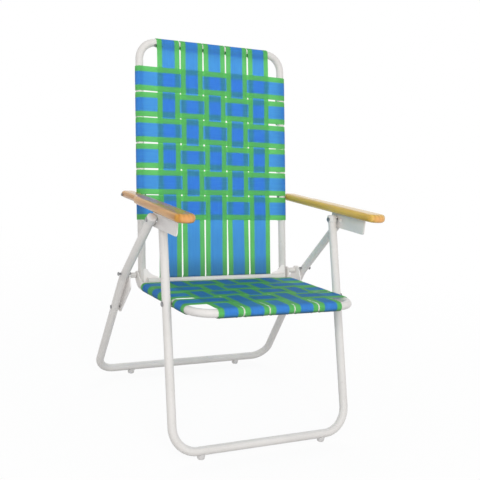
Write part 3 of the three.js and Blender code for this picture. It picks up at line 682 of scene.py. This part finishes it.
leg_frame("front_leg_frame", "front_frame", FRONT_LEG_X, [front_top, front_bar], [0, FRONT_FOOT_BEND])
leg_frame("rear_leg_frame", "rear_frame", REAR_LEG_X, [rear_top, knee, rear_bar],
          [0, REAR_KNEE_BEND, REAR_FOOT_BEND])


def leg_cap(name, body, x, top, up):
    """A slip-on cap with a skirt round the tube's end and a nearly flat top."""
    bm = bmesh.new()
    radius = LEG_RADIUS + CAP_WALL
    stations = [(-CAP_SKIRT, LEG_RADIUS), (-CAP_SKIRT, radius - CAP_RIM), (CAP_RIM - CAP_SKIRT, radius)]
    stations += [(CAP_TOP - CAP_EDGE * (1 - sin(a)), radius - CAP_EDGE * (1 - cos(a)))
                 for a in (radians(10 * i) for i in range(10))]
    stations.append((CAP_TOP + CAP_CROWN, CAP_EDGE))
    add_turned(bm, stations, across(x, top), up)
    make_piece(name, "plug", bm, LEGS_AT, body, PLASTIC)


def glide(name, body, x, bar):
    """A tapered foot with a rounded tread, cupped to the tube above it."""
    floor = bar.z - GLIDE_HEIGHT - LEG_RADIUS
    turns = [2 * pi * i / ROUND_SIDES for i in range(ROUND_SIDES)]
    rings = [[(share * GLIDE_FOOT_RADIUS, floor + lift)] * ROUND_SIDES for lift, share in GLIDE_TREAD]
    for r in (GLIDE_RADIUS, GLIDE_CUP * GLIDE_RADIUS):
        drops = [sqrt((LEG_RADIUS + FIT) ** 2 - (r * sin(a)) ** 2) for a in turns]
        rings.append([(r, bar.z - drop) for drop in drops])
    shaped = []
    for ring in rings:
        shaped.append([(x + r * cos(a), bar.y + r * sin(a), z) for (r, z), a in zip(ring, turns)])
    bm = bmesh.new()
    add_rings(bm, shaped)
    make_piece(name, "foot", bm, LEGS_AT, body, PLASTIC)


for label, side in SIDES:
    leg_cap(f"front_leg_cap_{label}", "front_frame", side * FRONT_LEG_X, front_top, front_up)
    leg_cap(f"rear_leg_cap_{label}", "rear_frame", side * REAR_LEG_X, rear_top, upper_up)
    glide(f"front_glide_{label}", "front_frame", side * GLIDE_X, front_bar)
    glide(f"rear_glide_{label}", "rear_frame", side * GLIDE_X, rear_bar)
    fastener(f"apex_bolt_{label}", LEGS_AT, "front_frame", side, (0, 0), [
        facing_in(nut(leg_inner, HEAD_THICK, HEAD_RADIUS)),
        shank(leg_inner - SHANK_IN, rear_outer + SHANK_IN),
        dome(rear_outer, HEAD_THICK, HEAD_RADIUS)])
    fastener(f"seat_pivot_bolt_{label}", LEGS_AT, "front_frame", side, seat_pivot.yz, [
        facing_in(dome(rail_inner, HEAD_THICK, HEAD_RADIUS)),
        shank(rail_inner - SHANK_IN, leg_outer + SHANK_IN),
        shank(rail_outer, leg_inner, WASHER_RADIUS),
        dome(leg_outer, HEAD_THICK, HEAD_RADIUS)])
    fastener(f"link_pivot_rivet_{label}", LEGS_AT, "rear_frame", side, link_pivot.yz, [
        facing_in(dome(link_inner, RIVET_TAIL, RIVET_RADIUS)),
        shank(link_inner - RIVET_SHANK_IN, rear_outer + RIVET_SHANK_IN),
        dome(rear_outer, RIVET_HEAD, RIVET_RADIUS)])
    stop_start = link_inner + FIT
    fastener(f"link_stop_bolt_{label}", LEGS_AT, "rear_frame", side, stop_bolt.yz, [
        [(stop_start, BOLT_RADIUS - STOP_CHAMFER), *shank(stop_start + STOP_CHAMFER, stop_head)],
        dome(stop_head, HEAD_THICK, RIVET_RADIUS)])

# Seat frame, a bent tube with shaped rear ends
rail_end = SEAT_ROW_MIDDLES[-1] + WEB_WIDTH / 2


def seat_rail_end(bm, side):
    """The rear end of a rail, flattened to a rounded tab and turned up to the back hinge."""
    start = Vector((side * SEAT_RAIL_X, rail_end - TAB_LAP, 0))
    corner = Vector((side * SEAT_TAB_X, SEAT_HINGE[0], TAB_KNEE))
    top = Vector((side * SEAT_TAB_X, SEAT_HINGE[0], SEAT_HINGE[1] + SEAT_TAB_RADIUS - TAB_TOP_CUT))
    rings = []
    for i in range(TAB_RINGS + 1):
        t = i / TAB_RINGS
        s = 1 - t
        point = start * s * s + 2 * corner * s * t + top * t * t
        heading = (2 * s * (corner - start) + 2 * t * (top - corner)).normalized()
        flat = ease((t - FLAT_FROM) / FLAT_OVER)
        thin = BODY_RADIUS + (SEAT_TAB_THICK / 2 - BODY_RADIUS) * flat
        wide = BODY_RADIUS + (SEAT_TAB_RADIUS - BODY_RADIUS) * flat
        if t > ROUND_FROM:
            wide *= sqrt(max(ROUND_LEAST, 1 - ((t - ROUND_FROM) / ROUND_OVER) ** 2))
        up = heading.cross(Vector((1, 0, 0))).normalized()
        power = 1 - TAB_SQUARENESS * flat
        ring = []
        for u, v in circle(1.0):
            u = math.copysign(abs(u) ** power, u) * thin
            v = math.copysign(abs(v) ** power, v) * wide
            ring.append(point + Vector((u, 0, 0)) + up * v)
        rings.append(ring)
    add_rings(bm, rings)


def u_tube(bm, ends, x, far, bend):
    """A tube bent to a U across the chair; ends and far are its end and its corner in the side view."""
    corners = [across(-x, ends), across(-x, far), across(x, far), across(x, ends)]
    add_tube(bm, corners, [0, bend, bend, 0], BODY_RADIUS)


bm = bmesh.new()
u_tube(bm, Vector((0, rail_end + RAIL_PAST_WEB, 0)), SEAT_RAIL_X, Vector((0, -SEAT_FRONT, 0)), SEAT_CORNER)
for _, side in SIDES:
    seat_rail_end(bm, side)
make_piece("seat_frame", "tube", bm, SEAT_AT, "seat", PAINT)


def cross_bar(name, at, body, end, y, z):
    """A thin bar with a weld bead at each end."""
    bm = bmesh.new()
    stations = [(along - end, CROSS_RADIUS + bead) for along, bead in WELD]
    stations += [(-along, radius) for along, radius in reversed(stations)]
    add_turned(bm, stations, (0, y, z))
    make_piece(name, "tube", bm, at, body, PAINT)


cross_bar("seat_rear_bar", SEAT_AT, "seat", rail_inner, *SEAT_REAR_BAR)
back_bar_y = -(BODY_RADIUS + GUSSET_THICK + 2 * FIT + CROSS_RADIUS)
back_bar_end = SEAT_RAIL_X - BODY_RADIUS - BACK_BAR_ROOM
cross_bar("back_lower_bar", BACK_AT, "back", back_bar_end, back_bar_y, -BACK_BAR_DROP)

# Back frame
bm = bmesh.new()
u_tube(bm, Vector((0, 0, -BACK_FOOT)), BACK_X, Vector((0, 0, BACK_LENGTH)), BACK_CORNER)
make_piece("back_frame", "tube", bm, BACK_AT, "back", PAINT)


def gusset(label, side):
    """A sheet corner behind the lower bar, hollow along its slope."""
    edge = BACK_X - BODY_RADIUS
    bar_bottom = -CROSS_RADIUS - BACK_BAR_DROP
    bar_top = CROSS_RADIUS - BACK_BAR_DROP
    outline = [(BACK_X, bar_bottom), (BACK_X, bar_top + GUSSET_RISE)]
    for i in range(GUSSET_STEPS + 1):
        t = i / GUSSET_STEPS
        sag = GUSSET_HOLLOW * 4 * t * (1 - t)
        height = GUSSET_RISE + (GUSSET_TIP - GUSSET_RISE) * t
        outline.append((edge - GUSSET_RUN * t + sag, bar_top + height - sag))
    outline.append((edge - GUSSET_RUN, bar_bottom))
    bm = bmesh.new()
    outline_plate(bm, [(side * x, z) for x, z in outline], [], GUSSET_THICK, GUSSET_EDGE)
    rear_face = -(BODY_RADIUS + FIT + GUSSET_THICK)
    bm.transform(Matrix(((0, 1, 0, 0), (1, 0, 0, rear_face), (0, 0, 1, 0), (0, 0, 0, 1))))
    make_piece(f"back_gusset_{label}", "plate", bm, BACK_AT, "back", LIGHTENED_SHEET_PAINT)


for label, side in SIDES:
    fastener(f"back_hinge_bolt_{label}", SEAT_AT, "seat", side, SEAT_HINGE, [
        facing_in(dome(back_inner, HEAD_THICK, HEAD_RADIUS)),
        shank(back_inner - SHANK_IN, link_inner - FIT)])
    narrow = SPACER_RADIUS - SPACER_CHAMFER
    spacer = [(tab_outer, narrow), (tab_outer + SPACER_CHAMFER, SPACER_RADIUS),
              (link_inner - SPACER_CHAMFER, SPACER_RADIUS), (link_inner, narrow)]
    fastener(f"back_hinge_spacer_{label}", SEAT_AT, "seat", side, SEAT_HINGE, [spacer], PAINT)
    fastener(f"arm_pivot_bolt_{label}", BACK_AT, "back", side, (0, ARM_PIVOT_RISE), [
        facing_in(nut(back_inner, HEAD_THICK, ARM_HEAD_RADIUS)),
        shank(back_inner - SHANK_IN, arm_outer + SHANK_IN, ARM_BOLT_RADIUS),
        dome(arm_outer, HEAD_THICK, ARM_HEAD_RADIUS)])
    gusset(label, side)

# Link plates
hinge = off_pivot(pivot["back_hinge"], "link_pivot_left")
stop = (LEGS_AT @ stop_bolt - pivot["link_pivot_left"]) / MM
nose = stop + (hinge - stop).normalized() * (BOLT_RADIUS + STOP_CLEAR + LINK_NOSE_RADIUS)
lobe_y, lobe_z, lobe_radius = LINK_LOBE
link_outline = hull([(0, 0, LINK_FOOT_RADIUS), (hinge.y, hinge.z, LINK_HEAD_RADIUS),
                     (hinge.y + lobe_y, hinge.z + lobe_z, lobe_radius), (nose.y, nose.z, LINK_NOSE_RADIUS)])
link_holes = [hole(y, z, BOLT_RADIUS + FIT) for y, z in ((0, 0), hinge.yz)]
for label, side in SIDES:
    bm = bmesh.new()
    outline_plate(bm, link_outline, link_holes, LINK_THICK, LINK_EDGE)
    bm.transform(Matrix.Translation((side * GAP_MIDDLE - LINK_THICK / 2, 0, 0)))
    make_piece(f"link_plate_{label}", "sheet", bm, LINK_AT, f"link_{label}", LIGHTENED_SHEET_PAINT)
    fastener(f"link_top_rivet_{label}", LINK_AT, f"link_{label}", side, hinge.yz, [
        shank(link_outer - LINK_THICK, link_outer),
        dome(link_outer, LINK_RIVET_HEAD, RIVET_RADIUS)])


# Wooden arms
def arm_plan(side):
    """Outline of the board from above as (x, y) points, counter-clockwise for the right arm."""
    (inner_rear, inner_front), (outer_rear, outer_front) = ARM_INNER, ARM_OUTER
    rear = ARM_TAIL - ARM_TAIL_CORNER
    points = arc(outer_rear - ARM_TAIL_CORNER, rear, ARM_TAIL_CORNER, 0, 90, 9)
    points += arc(inner_rear + ARM_TAIL_CORNER, rear, ARM_TAIL_CORNER, 90, 180, 9)
    front = ARM_NOSE_RADIUS - ARM_REACH
    points += arc(inner_front + ARM_NOSE_RADIUS, front, ARM_NOSE_RADIUS, 180, 270, 10)
    points += arc(outer_front - ARM_NOSE_RADIUS, front, ARM_NOSE_RADIUS, 270, 360, 10)
    widening = (outer_front - outer_rear - ARM_SHOULDER) / (ARM_REACH - ARM_TONGUE)
    for i in range(ARM_SHOULDER_STEPS + 1):
        t = 1 - i / ARM_SHOULDER_STEPS
        ahead = ARM_SHOULDER_RUN * t
        points.append((outer_rear + ARM_SHOULDER * ease(t) + widening * ahead, -ARM_TONGUE - ahead))
    return [(side * x, y) for x, y in points]


def arm(label, side):
    """A board with rounded edges, rounded down at the nose and cut thinner along its rear tongue."""
    bm = bmesh.new()
    outline_plate(bm, arm_plan(side), [], ARM_THICK, ARM_EDGE, ARM_EDGE_STEPS)
    bm.transform(Matrix(((0, 1, 0, 0), (0, 0, 1, 0), (1, 0, 0, -ARM_THICK / 2), (0, 0, 0, 1))))
    tongue_start = -ARM_TONGUE - ARM_STEP
    for y in (*(cut - ARM_REACH for cut in ARM_CUTS), tongue_start, -ARM_TONGUE):
        everything = [*bm.verts, *bm.edges, *bm.faces]
        bmesh.ops.bisect_plane(bm, geom=everything, plane_co=(0, y, 0), plane_no=(0, 1, 0))
    grain = bm.verts.layers.float_vector.new("grain")
    end_grain = bm.verts.layers.float.new("end_grain")
    for v in bm.verts:
        from_nose = v.co.y + ARM_REACH
        v[grain] = (v.co + Vector((0, side * GRAIN_SHIFT, 0))) * MM
        v[end_grain] = max(0.0, 1 - from_nose / END_GRAIN)
        if from_nose < ARM_NOSE_EASE:
            t = 1 - from_nose / ARM_NOSE_EASE
            v.co.z -= ARM_NOSE_DROP * t * t * (0.5 + v.co.z / ARM_THICK)
        if v.co.z < 0:
            rise = min(1.0, max(0.0, (v.co.y - tongue_start) / ARM_STEP))
            outward = ease((side * v.co.x - ARM_INNER[0]) / (ARM_OUTER[0] - ARM_INNER[0]))
            v.co.z += ARM_TONGUE_CUT * rise * outward
    make_piece(f"arm_{label}", "board", bm, ARM_AT, f"arm_{label}", WOOD[label])


def arm_bracket(label, side):
    """Sheet angle: a web between the legs and a flange screwed under the board."""
    turn = Matrix.Rotation(radians(ARM_RISE), 4, "X")
    bolt = turn @ off_pivot(pivot["fold"], "arm_pivot_left")
    under = -ARM_THICK / 2 - FIT
    bottom = bolt.z - BRACKET_BELOW
    nose = bolt.y - BRACKET_AHEAD
    heel = bolt.y + BRACKET_BEHIND
    inner = GAP_MIDDLE - BRACKET_THICK / 2
    flange_face = under - BRACKET_THICK
    r = BRACKET_CORNER
    web = [(heel, under), (nose, under), *arc(nose + r, bottom + r, r, 180, 270, 8),
           *arc(heel - r, bottom + r, r, 270, 360, 8)]
    bm = bmesh.new()
    outline_plate(bm, web, [hole(bolt.y, bolt.z, BRACKET_HOLE)], BRACKET_THICK, BRACKET_EDGE)
    bm.transform(Matrix.Translation((inner, 0, 0)))

    length = BRACKET_AHEAD - FLANGE_SETBACK
    r = FLANGE_CORNER
    edge = [(0, 0), (FLANGE_WIDTH - r, 0), *arc(FLANGE_WIDTH - r, r, r, 270, 360, 6),
            *arc(FLANGE_WIDTH - r, length - r, r, 0, 90, 6), (0, length)]
    flange = bmesh.new()
    outline_plate(flange, edge, [], BRACKET_THICK, BRACKET_EDGE)
    flange.transform(Matrix(((0, 1, 0, inner), (0, 0, 1, nose), (1, 0, 0, flange_face), (0, 0, 0, 1))))
    spare = bpy.data.meshes.new("flange")
    flange.to_mesh(spare)
    flange.free()
    bm.from_mesh(spare)
    bpy.data.meshes.remove(spare)
    for share in FLANGE_SCREWS:
        at = (GAP_MIDDLE + FLANGE_WIDTH * FLANGE_SCREW_OUT, nose + length * share, flange_face)
        add_turned(bm, dome(0, *FLANGE_SCREW_HEAD), at, (0, 0, -1))
    add_turned(bm, dome(0, *BOSS_HEAD), (inner, bolt.y - BOSS_AHEAD, bolt.z), (-1, 0, 0))
    if side < 0:
        bm.transform(Matrix.Scale(-1, 4, (1, 0, 0)))
    make_piece(f"arm_bracket_{label}", "sheet", bm, ARM_AT, f"arm_{label}", LIGHTENED_SHEET_PAINT)


for label, side in SIDES:
    arm(label, side)
    arm_bracket(label, side)

# Straps
STRAP_RUN = 2.0           # between stations along a strap
STRAP_CROWN = 0.25
STRAP_HALF = ((-1.0, 0.0), (-0.985, 0.7), (-0.94, 1.0), (-0.78, 1.0),
              (-0.56, 1.0), (-0.28, 1.0), (0.0, 1.0))  # one half of a section, as shares: across, thick
STRAP_SWAY = 0.6          # how far a strap wanders sideways
SWAY_LONG = 95.0
SWAY_SHORT = 41.0
SWAY_SHIFT = 2.3          # between one strap and the next
BACK_ROW_PHASE = 1.0
BACK_COLUMN_PHASE = 9.0
SEAT_ROW_PHASE = 17.0
SEAT_COLUMN_PHASE = 23.0
STRAP_ASKEW = 0.9         # how far a row of the back runs off level, at its ends
ASKEW_TURN = 2.1
ASKEW_START = 0.5
SEAT_SPREAD = 2.0         # how much wider a seat strap lies behind the front bar than round it
SEAT_SPREAD_RUN = 12.0

# The back's long straps are sewn round the top bar and end in a hem behind the lower bar
LOOP_LEAVE = 75.0         # degrees below the tube's rear
LOOP_GAP = 1.8
LOOP_SEWN = 3.5
LOOP_BEND = 2.5
LOOP_BEND_STEPS = 6
LOOP_STEPS = 32
HEM_FOLD = 0.95
HEM_FOLD_STEPS = 12
HEM_RISE = 15.0

# The other straps end in a tail behind or under a tube, and the seat's long ones dip to its rear bar
WRAP_STEPS = 24
DIP_AFTER = 3.5           # past the bar's middle
DIP_IN = 1.0
DIP_DROP = 2.0
REAR_WRAP = (20.0, -90.0)  # degrees round the bar
REAR_WRAP_STEPS = 14

# Painted shade, as a share of the colour: on the back under the last row and by the lower bar, and on the seat
SHADE_BELOW_ROWS = 0.06
SHADE_BY_BAR = 0.25
SHADE_BAR_REACH = 50.0     # above the back hinge
SHADE_ON_SEAT = 0.055
SHADE_UNDER_SEAT = 0.5


def on_tube(radius):
    return radius + FIT + WEB_LIFT


level = on_tube(BODY_RADIUS)
bar_level = on_tube(CROSS_RADIUS)


def woven_height(a, crossings):
    """Height off the middle level at a, over or under each crossing (middle, +1 or -1)."""
    run = (WEB_PITCH - WEB_WIDTH) / 2 + WEB_EASE
    changes = [(middle - WEB_PITCH / 2, over) for middle, over in crossings]
    changes.append((crossings[-1][0] + WEB_PITCH / 2, 0))
    height = 0.0
    before = 0
    for centre, over in changes:
        height += (over - before) * ease((a - centre + run) / (2 * run))
        before = over
    return WEB_STEP * height


def spaced(start, end):
    count = max(2, round(abs(end - start) / STRAP_RUN))
    return [start + (end - start) * i / count for i in range(count + 1)]


def face_run(start, end, crossings):
    return [(a, level + woven_height(a, crossings)) for a in spaced(start, end)]


def sewn_loop():
    """From the sewn end under a tube's middle, round the tube and over it to the front, as (up, front)."""
    up = cos(radians(LOOP_LEAVE))
    front = sin(radians(LOOP_LEAVE))
    meet_front = level - LOOP_GAP
    way = (meet_front + level * up) / front
    meet_up = -level * front - way * up
    line = [(a, meet_front) for a in spaced(meet_up - LOOP_SEWN, meet_up - LOOP_BEND)]
    for i in range(1, LOOP_BEND_STEPS + 1):
        t = i / LOOP_BEND_STEPS
        back = LOOP_BEND * t * t
        line.append((meet_up - LOOP_BEND * (1 - t) ** 2 + back * up, meet_front - back * front))
    line += [(meet_up + s * up, meet_front - s * front) for s in spaced(LOOP_BEND, way)[1:]]
    return line + arc(0, 0, level, -90 - LOOP_LEAVE, 90, LOOP_STEPS)[1:]


def hem():
    """A strap's end turned up at the rear, as (up, front)."""
    fold = arc(0, level - HEM_FOLD, HEM_FOLD, 90, 270, HEM_FOLD_STEPS)[1:-1]
    return fold + [(a, level - 2 * HEM_FOLD) for a in spaced(0.0, HEM_RISE)]


def tail_end():
    """From a tail under a tube, round its outer side and over it, as (out, up)."""
    tail = [(-a, -level) for a in spaced(WEB_TAIL, 0.0)][:-1]
    return tail + [(-y, z) for y, z in arc(0, 0, level, 270, 90, WRAP_STEPS)]


def across_line(x, row):
    """A row over two tubes at plus and minus x, woven through the columns between them."""
    left = [(-x - out, h) for out, h in tail_end()]
    crossings = [(middle, 1 if (row + column) % 2 == 0 else -1) for column, middle in enumerate(COLUMNS)]
    right = [(-a, h) for a, h in reversed(left)]
    return left + face_run(-x, x, crossings)[1:-1] + right


def column_crossings(column, middles):
    return [(middle, -1 if (row + column) % 2 == 0 else 1) for row, middle in enumerate(middles)]


def zero(*place):
    return 0.0


# Painted shade: darker under the last row and towards the lower bar, where the seat and the bar shade the
# straps
def back_shade(a, h):
    below = BACK_ROW_MIDDLES[-1] - WEB_WIDTH / 2
    return SHADE_BELOW_ROWS * ease((below - a) / WEB_WIDTH) + SHADE_BY_BAR * ease(1 - a / SHADE_BAR_REACH)


# Painted shade on the undersides of the seat's tubes, where the straps wrap round into shade
def under_shade(h):
    return SHADE_UNDER_SEAT * ease(-h / BODY_RADIUS) ** 2


# Painted shade for the seat's straps: a little darker all over, standing in for weaker light on the seat, and
# darker under its tubes
def seat_row_shade(a, h):
    return SHADE_ON_SEAT + under_shade(h)


def seat_column_shade(a, h):
    return SHADE_ON_SEAT * ease((a + SEAT_FRONT) / BODY_RADIUS) + under_shade(h)


def seat_spread(a):
    return SEAT_SPREAD * ease((a + SEAT_FRONT) / SEAT_SPREAD_RUN)


def strap(name, body, at, lay, line, phase, askew=0.0, painted_shading=zero, spread=zero):
    """Skins a strap along its line; lay puts (along, height, across) into the body's frame."""
    front = [*STRAP_HALF, *((-u, t) for u, t in STRAP_HALF[-2::-1])]
    section = front + [(u, -t) for u, t in front[-2:0:-1]]
    bm = bmesh.new()
    web = bm.verts.layers.float_vector.new("web")
    painted_shade = bm.verts.layers.float.new("painted_shade")
    last = len(line) - 1
    run = 0.0
    rings, runs = [], []
    for i, (a, h) in enumerate(line):
        (a0, h0), (a1, h1) = line[max(0, i - 1)], line[min(last, i + 1)]
        size = math.hypot(a1 - a0, h1 - h0)
        na, nh = -(h1 - h0) / size, (a1 - a0) / size
        run += math.hypot(a - a0, h - h0)
        sway = STRAP_SWAY * sin(run / SWAY_LONG + phase)
        sway *= sin(run / SWAY_SHORT + SWAY_SHIFT * phase)
        ring = []
        for u, t in section:
            lift = t * WEB_THICK / 2 + STRAP_CROWN * (1 - u * u)
            w = u * (WEB_WIDTH + spread(a)) / 2 + sway + askew * a
            ring.append(Vector(lay(a + na * lift, h + nh * lift, w)))
        rings.append(ring)
        runs.append(run)
    for verts, along, point in zip(add_rings(bm, rings), runs, line):
        for v, (u, _) in zip(verts, section):
            v[web] = (u * WEB_WIDTH / 2 * MM, along * MM, phase)
            # Share of painted shade at this point of the strap
            v[painted_shade] = painted_shading(*point)
    piece = make_piece(name, "woven", bm, at, body, WEB, STRAP_CREASE)


for row, middle in enumerate(BACK_ROW_MIDDLES):
    askew = STRAP_ASKEW * sin(ASKEW_TURN * row + ASKEW_START) / BACK_X
    strap(f"back_cross_strap_{row + 1}", "back", BACK_AT, lambda a, h, w, m=middle: (a, -h, m + w),
          across_line(BACK_X, row), BACK_ROW_PHASE + row, askew)

low_end = HEM_FOLD - CROSS_RADIUS - BACK_BAR_DROP
for column, x in enumerate(COLUMNS):
    top = [(BACK_LENGTH + a, h) for a, h in sewn_loop()]
    face = face_run(BACK_LENGTH, low_end, column_crossings(column, BACK_ROW_MIDDLES)[::-1])[1:]
    foot = [(low_end + a, h) for a, h in hem()]
    strap(f"back_long_strap_{column + 1}", "back", BACK_AT, lambda a, h, w, x=x: (x + w, -h, a),
          top + face + foot, BACK_COLUMN_PHASE + column, painted_shading=back_shade)

for row, middle in enumerate(SEAT_ROW_MIDDLES):
    strap(f"seat_cross_strap_{row + 1}", "seat", SEAT_AT, lambda a, h, w, m=middle: (a, m + w, h),
          across_line(SEAT_RAIL_X, row), SEAT_ROW_PHASE + row, painted_shading=seat_row_shade)

bar_y, bar_z = SEAT_REAR_BAR
for column, x in enumerate(COLUMNS):
    front = [(-SEAT_FRONT - out, h) for out, h in tail_end()]
    face = face_run(-SEAT_FRONT, bar_y + DIP_AFTER, column_crossings(column, SEAT_ROW_MIDDLES))[1:]
    rear = [(bar_y + bar_level - DIP_IN, level - DIP_DROP)]
    rear += arc(bar_y, bar_z, bar_level, *REAR_WRAP, REAR_WRAP_STEPS)
    rear += [(a, bar_z - bar_level) for a in spaced(bar_y, bar_y - WEB_TAIL)][1:]
    strap(f"seat_long_strap_{column + 1}", "seat", SEAT_AT, lambda a, h, w, x=x: (x + w, a, h),
          front + face + rear, SEAT_COLUMN_PHASE + column,
          painted_shading=seat_column_shade, spread=seat_spread)

# Screws that hold the strap ends, two at each, and rivets beside the straps on the top bar
SCREW_APART = 20.0        # off the strap's middle
SCREW_IN = 5.0            # along the tail
SCREW_WASHER = (0.7, 4.0)  # height, radius
SCREW_HEAD = (0.6, 1.4, 2.8)  # start, height, radius
KEEPER_TURN = 35.0        # degrees forward of the top bar's lowest line


def strap_screws(body, at, places):
    bm = bmesh.new()
    for point, axis in places:
        add_turned(bm, washer(*SCREW_WASHER), point, axis)
        add_turned(bm, dome(*SCREW_HEAD), point, axis)
    make_piece(body, "strap_screws", bm, at, body, STEEL, replaces=False)


def pairs(middles):
    return [m + d for m in middles for d in (-SCREW_APART, SCREW_APART)]


half_strap = WEB_THICK / 2 + STRAP_CROWN
tail = level + half_strap
bar_tail = bar_level + half_strap
hem_face = level - 2 * HEM_FOLD - half_strap
keeper_out = -lean(KEEPER_TURN)
rearward = (0, 1, 0)
downward = (0, 0, -1)
places = [(Vector((x - WEB_PITCH / 2, 0, BACK_LENGTH)) + keeper_out * BODY_RADIUS, keeper_out)
          for x in COLUMNS]
places += [((x, -hem_face, -BACK_BAR_DROP), rearward) for x in pairs(COLUMNS)]
places += [((side * (BACK_X - SCREW_IN), tail, z), rearward)
           for z in pairs(BACK_ROW_MIDDLES) for _, side in SIDES]
strap_screws("back", BACK_AT, places)
places = [((side * (SEAT_RAIL_X - SCREW_IN), y, -tail), downward)
          for y in pairs(SEAT_ROW_MIDDLES) for _, side in SIDES]
places += [((x, -SEAT_FRONT + SCREW_IN, -tail), downward) for x in pairs(COLUMNS)]
places += [((x, bar_y - SCREW_IN, bar_z - bar_tail), downward) for x in pairs(COLUMNS)]
strap_screws("seat", SEAT_AT, places)

# Camera at the photograph's view
CAMERA_LENS = 61.13
CAMERA_SENSOR = 36.0
CAMERA_AT = (-0.8703, -1.6135, 0.8801)
CAMERA_TURN = (75.5131, -6.7825, -26.9031)  # degrees about X, Y and Z
camera = bpy.data.cameras.new("camera")
camera.lens = CAMERA_LENS
camera.sensor_width = CAMERA_SENSOR
eye = add_object("camera", camera)
turn = Euler([radians(degrees) for degrees in CAMERA_TURN]).to_matrix().to_4x4()
eye.matrix_world = Matrix.Translation(CAMERA_AT) @ turn
bpy.context.scene.camera = eye
bpy.context.scene.view_settings.view_transform = "Standard"

# Floor, world and lamps
FLOOR_SIZE = 14.0
FLOOR_TONE = 0.38         # what the floor throws back at the object
FLOOR_SHOWN = 0.98
SHADOW_NEAR = 0.10        # how much of the floor's own shade shows under the object
SHADOW_REACH = (0.5, 1.6)  # metres, where the shade fades out
SKY_LOW = 1.05            # strength at the horizon and overhead
SKY_HIGH = 0.38
LAMP_SIZE = 2.0
WHITE = (1.0, 1.0, 1.0)


def seen_rays(graph):
    """One for what the camera sees, also in mirrors and clear pieces, and none for scattered light."""
    path = graph.new("LightPath").outputs
    seen = graph.math("MAXIMUM", path["Is Camera Ray"], path["Is Glossy Ray"])
    seen = graph.math("MAXIMUM", seen, path["Is Transmission Ray"])
    seen = graph.math("SUBTRACT", seen, path["Is Diffuse Ray"])
    return graph.math("MAXIMUM", seen, 0.0)


floor_mesh = bpy.data.meshes.new("floor")
corners = [(x * FLOOR_SIZE, y * FLOOR_SIZE, 0) for x, y in ((-1, -1), (1, -1), (1, 1), (-1, 1))]
floor_mesh.from_pydata(corners, [], [(0, 1, 2, 3)])
floor = add_object("floor", floor_mesh)
floor_material, graph, shader = new_material("floor")
seen = seen_rays(graph)
graph.put(shader, Base_Color=graph.mix(seen, (FLOOR_TONE,) * 3, (FLOOR_SHOWN,) * 3), Roughness=0.95,
          Specular_IOR_Level=0.0)
away = graph.new("VectorMath")
away.operation = "LENGTH"
graph.feed(away.inputs[0], graph.new("TexCoord").outputs["Object"])
white_share = graph.remap(away.outputs["Value"], *SHADOW_REACH, 1 - SHADOW_NEAR, 1.0)
glow = graph.new("Emission", Color=WHITE)
shown = graph.blend(graph.math("MULTIPLY", seen, white_share),
                    shader.outputs["BSDF"], glow.outputs["Emission"])
graph.put(graph.nodes["Material Output"], Surface=shown)
floor_mesh.materials.append(floor_material)

world = bpy.data.worlds.new("studio")
world.use_nodes = True
bpy.context.scene.world = world
graph = Graph(world.node_tree)
way = graph.new("SeparateXYZ", Vector=graph.new("TexCoord").outputs["Generated"])
sky = graph.put(graph.nodes["Background"], Color=WHITE,
                Strength=graph.remap(way.outputs["Z"], 0.0, 1.0, SKY_LOW, SKY_HIGH))
backdrop = graph.new("Background", Color=WHITE)
shown = graph.blend(seen_rays(graph), sky.outputs["Background"], backdrop.outputs["Background"])
graph.put(graph.nodes["World Output"], Surface=shown)


def soft_lamp(name, place, target, power):
    lamp = bpy.data.lights.new(name, "AREA")
    lamp.shape = "SQUARE"
    lamp.size = LAMP_SIZE
    lamp.energy = power
    stand = add_object(name, lamp)
    stand.location = place
    stand.visible_camera = False
    stand.visible_glossy = False
    stand.rotation_euler = (Vector(target) - Vector(place)).to_track_quat("-Z", "Y").to_euler()


soft_lamp("key", place=(-1.0, -2.6, 1.7), target=(0, 0, 0.45), power=46.0)
soft_lamp("rear", place=(0.9, 2.6, 1.7), target=(0, 0.1, 0.70), power=30.0)
